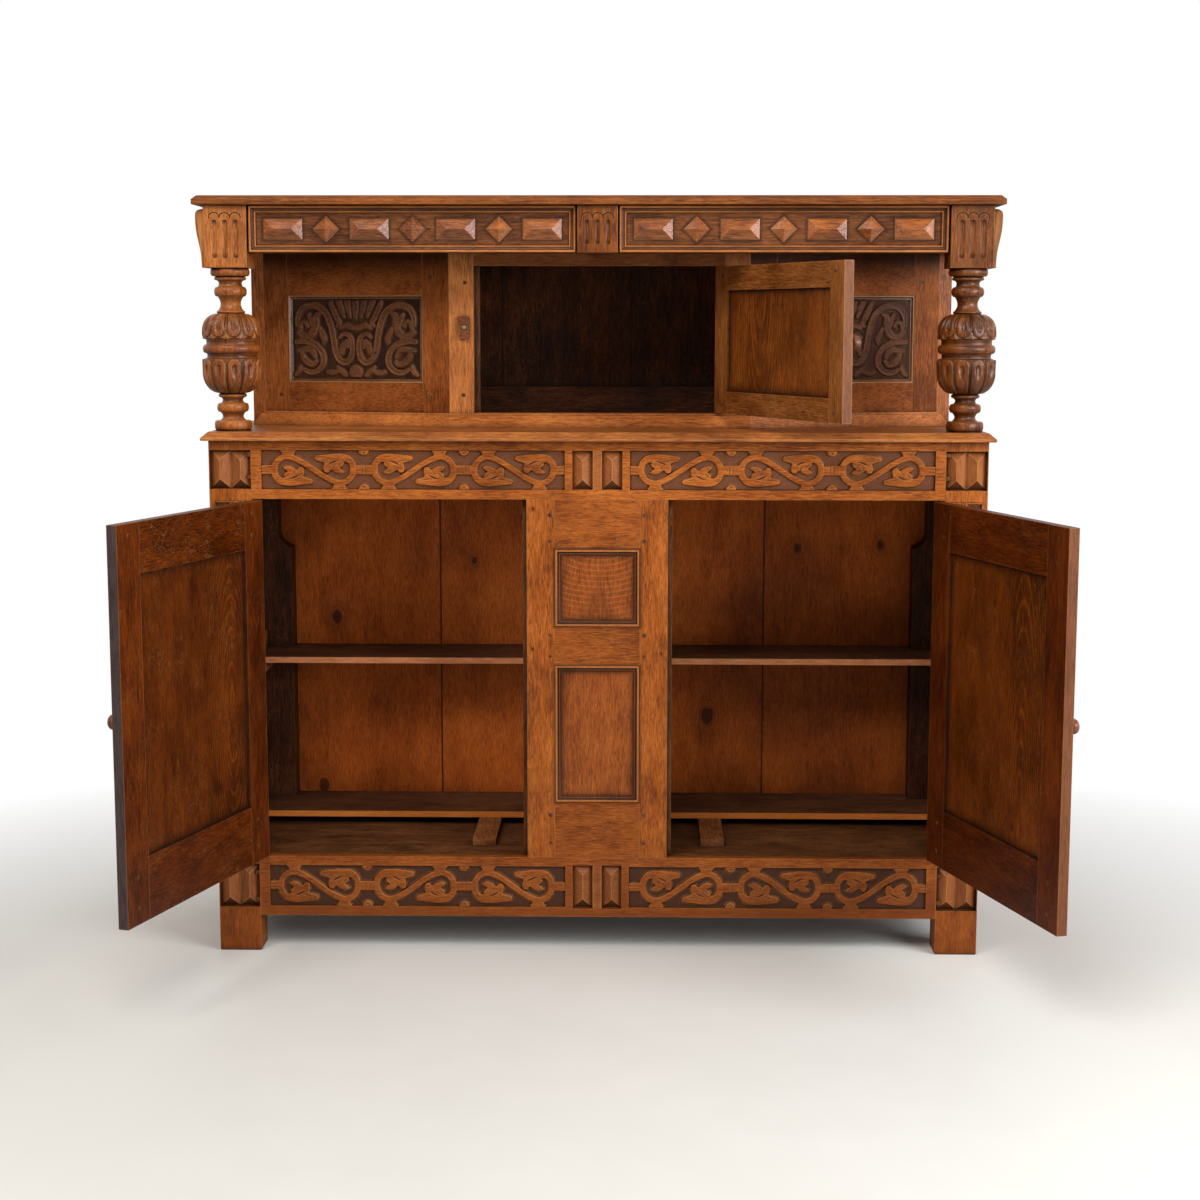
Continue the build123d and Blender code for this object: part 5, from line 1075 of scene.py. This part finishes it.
def peg_tree():
    """Domed, slightly uneven pegs at each point of a mesh, turned as its facing attribute says."""
    tree = bpy.data.node_groups.new("peg_heads", "GeometryNodeTree")
    tree.interface.new_socket("Geometry", in_out="INPUT", socket_type="NodeSocketGeometry")
    inputs = {}
    for label, kind, value in (("Radius", "Float", 0.004), ("Rise", "Float", 0.2), ("Finish", "Material", None)):
        inputs[label] = tree.interface.new_socket(label, in_out="INPUT", socket_type=f"NodeSocket{kind}")
        inputs[label].default_value = value
    tree.interface.new_socket("Geometry", in_out="OUTPUT", socket_type="NodeSocketGeometry")

    def add(kind, values, settings=None):
        return add_node(tree, kind, values, settings).outputs

    number, vector = {"data_type": "FLOAT"}, {"data_type": "FLOAT_VECTOR"}
    enter = add("NodeGroupInput", {})
    head = add("GeometryNodeMeshUVSphere", {"Segments": 11, "Rings": 6, "Radius": enter["Radius"]})["Mesh"]
    flat = add("ShaderNodeCombineXYZ", {0: 1.0, 1: 0.9, 2: enter["Rise"]})[0]
    peg = add("GeometryNodeTransform", {"Geometry": head, "Scale": flat})["Geometry"]
    facing = add("GeometryNodeInputNamedAttribute", {"Name": "facing"}, vector)["Attribute"]
    turn = add("FunctionNodeEulerToRotation", {"Euler": facing})["Rotation"]
    size = add("FunctionNodeRandomValue", {2: 0.82, 3: 1.12, "Seed": 7}, number)[1]
    spin = add("FunctionNodeRandomValue", {2: 0.0, 3: 3.1, "Seed": 3}, number)[1]
    roll = add("ShaderNodeCombineXYZ", {2: spin})[0]
    pegs = add("GeometryNodeInstanceOnPoints",
               {"Points": enter["Geometry"], "Instance": peg, "Rotation": turn, "Scale": size})["Instances"]
    pegs = add("GeometryNodeRotateInstances", {"Instances": pegs, "Rotation": roll})["Instances"]
    pegs = add("GeometryNodeRealizeInstances", {"Geometry": pegs})["Geometry"]
    pegs = add("GeometryNodeSetShadeSmooth", {"Geometry": pegs})["Geometry"]
    pegs = add("GeometryNodeSetMaterial", {"Geometry": pegs, "Material": enter["Finish"]})["Geometry"]
    add("NodeGroupOutput", {"Geometry": pegs})
    return tree, inputs


peg_heads, peg_inputs = peg_tree()
peg_radius, peg_rise = 0.0042, 0.16


def add_pegs(name, spots, body):
    """Pegs at spots, each a point on a face and the way that face looks."""
    mesh = bpy.data.meshes.new(name)
    mesh.from_pydata([tuple(spot) for spot, _ in spots], [], [])
    facing = mesh.attributes.new("facing", "FLOAT_VECTOR", "POINT")
    turns = [Vector((0, 0, 1)).rotation_difference(Vector(way)).to_euler() for _, way in spots]
    facing.data.foreach_set("vector", [part for turn in turns for part in turn])
    piece = bpy.data.objects.new(name, mesh)
    bpy.context.scene.collection.objects.link(piece)
    layer = piece.modifiers.new("pegs", "NODES")
    layer.node_group = peg_heads
    for label, value in (("Radius", peg_radius), ("Rise", peg_rise), ("Finish", peg_oak)):
        layer[peg_inputs[label].identifier] = value
    bpy.context.view_layer.update()
    made = bpy.data.meshes.new_from_object(piece.evaluated_get(bpy.context.evaluated_depsgraph_get()))
    piece.modifiers.remove(layer)
    piece.data = made
    made.name = name
    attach(piece, body)


case_pegs, side_face = [], 0.685
for side in (-1, 1):
    rows = [(0.0835, 0.0, z) for z in (0.796, 0.750, 0.582, 0.544, 0.255, 0.204)]
    rows += [(0.2440, upper_setback, 1.2040), (0.2480, upper_setback, 1.0010)]
    rows += [(0.6140, 0.0, 0.8620), (0.6150, 0.0, 0.9020), (0.6145, 0.0, 0.0960), (0.6140, 0.0, 0.1460)]
    case_pegs += [(Vector((side * x, case_front + y, z)), to_front) for x, y, z in rows]
    outward = (side * math.sin(cant), -math.cos(cant), 0.0)
    for u, z in ((0.035, 1.214), (0.037, 1.001), (0.335, 1.206), (0.334, 0.999)):
        spot = Vector((side * (cant_corner + u * math.cos(cant)), upper_face + u * math.sin(cant), z))
        case_pegs.append((spot, outward))
    for y in (0.018, 0.430):
        case_pegs += [(Vector((side * side_face, case_front + y, z)), (side, 0, 0))
                      for z in (0.875, 0.835, 0.500, 0.470, 0.140, 0.105)]
add_pegs("case_pegs", case_pegs, "carcase")


door_thick = 0.0175


def door_pegs(name, columns, rows):
    """Pegs that show on both faces of a door, placed on it shut and then swung."""
    body, pivot, swing, hand = next(door[1:5] for door in doors if door[0] == name)
    swung = Matrix.Rotation(swing, 3, "Z")
    spots = []
    for way, y in ((to_front, 0.0), (along_y, door_thick)):
        spots += [(pivot + swung @ Vector((hand * x, y + pivot_inset, z)), swung @ Vector(way))
                  for x in columns for z in rows]
    add_pegs(f"{name}_door_pegs", spots, body)


for name in ("left", "right"):
    door_pegs(name, (0.041, 0.448), (0.803, 0.764, 0.256, 0.206))
door_pegs("upper", (0.030, 0.426), (1.216, 0.986))

# ---- Floor, lamps and camera ----
# A pale floor that fades to white away from the cupboard, a broad cool window to the right, a
# wide soft lamp above the front, and a camera standing about three and a half metres away.
floor_mesh = bpy.data.meshes.new("pale_floor")
floor_mesh.from_pydata([(-14, -14, 0), (14, -14, 0), (14, 14, 0), (-14, 14, 0)], [], [(0, 1, 2, 3)])
floor = bpy.data.objects.new("pale_floor", floor_mesh)
bpy.context.scene.collection.objects.link(floor)
f = Finish("pale_floor")
spot = f.node("TexCoord", out=3)
away = f.vector("LENGTH", f.vector("ADD", spot, (0.0, 0.35, 0.0)))
f.coat({"Base Color": f.mix(f.noise(spot, 1.0, 3.0, 3.0), shade(232, 229, 222), shade(240, 237, 231)),
        "Roughness": f.noise(spot, 1.0, 12.0) * 0.2 + 0.5})
camera_ray = f.node("LightPath")
glow = f.node("Emission", {"Color": (1, 1, 1, 1), "Strength": 1.0})
blend = f.node("MixShader", {0: away.over(0.95, 2.1) * camera_ray, 1: f.shader.outputs[0], 2: glow})
feed(f.end.inputs[0], blend)
floor_mesh.materials.append(f.material)

world = bpy.data.worlds.new("studio")
bpy.context.scene.world = world
world.use_nodes = True
sky = world.node_tree
sky.nodes.clear()
path = add_node(sky, "ShaderNodeLightPath").outputs
seen = add_node(sky, "ShaderNodeMath", {0: path["Is Camera Ray"], 1: path["Is Glossy Ray"]}).outputs[0]
seen = add_node(sky, "ShaderNodeMath", {0: seen, 1: path["Is Transmission Ray"]}, {"use_clamp": True}).outputs[0]
lit = add_node(sky, "ShaderNodeBackground", {0: (1.0, 0.97, 0.93, 1), 1: 0.24}).outputs[0]
white = add_node(sky, "ShaderNodeBackground", {0: (1, 1, 1, 1), 1: 1.0}).outputs[0]
pick = add_node(sky, "ShaderNodeMixShader", {0: seen, 1: lit, 2: white}).outputs[0]
add_node(sky, "ShaderNodeOutputWorld", {0: pick})


def lamp(name, spot, aim, size, tall, power, tint):
    """A soft rectangular lamp at a spot, turned to what it lights."""
    data = bpy.data.lights.new(name, "AREA")
    data.shape, data.size, data.size_y, data.energy, data.color = "RECTANGLE", size, tall, power, tint
    made = bpy.data.objects.new(name, data)
    made.location = spot
    made.rotation_euler = (Vector(aim) - Vector(spot)).to_track_quat("-Z", "Y").to_euler()
    bpy.context.scene.collection.objects.link(made)


lamp("windows", (2.7, -2.1, 1.6), (0.0, 0.0, 0.9), 2.2, 1.3, 118.0, (0.90, 0.95, 1.0))
lamp("overhead", (-0.9, -2.5, 3.2), (-0.1, 0.1, 0.7), 2.6, 1.4, 88.0, (1.0, 0.97, 0.92))

data = bpy.data.cameras.new("camera")
data.sensor_width, data.lens = 36.0, 61.4052
data.shift_x, data.shift_y = -0.0014875, 0.0021283
data.clip_start, data.clip_end = 0.05, 60.0
camera = bpy.data.objects.new("camera", data)
yaw, tilt, roll = (math.radians(angle) for angle in (1.0917, 82.2189, 0.0556))
camera.matrix_world = (Matrix.Translation((0.0766, -3.5856, 1.1319)) @ Matrix.Rotation(yaw, 4, "Z")
                       @ Matrix.Rotation(tilt, 4, "X") @ Matrix.Rotation(roll, 4, "Z"))
bpy.context.scene.collection.objects.link(camera)
bpy.context.scene.camera = camera
bpy.context.scene.view_settings.view_transform = "Standard"
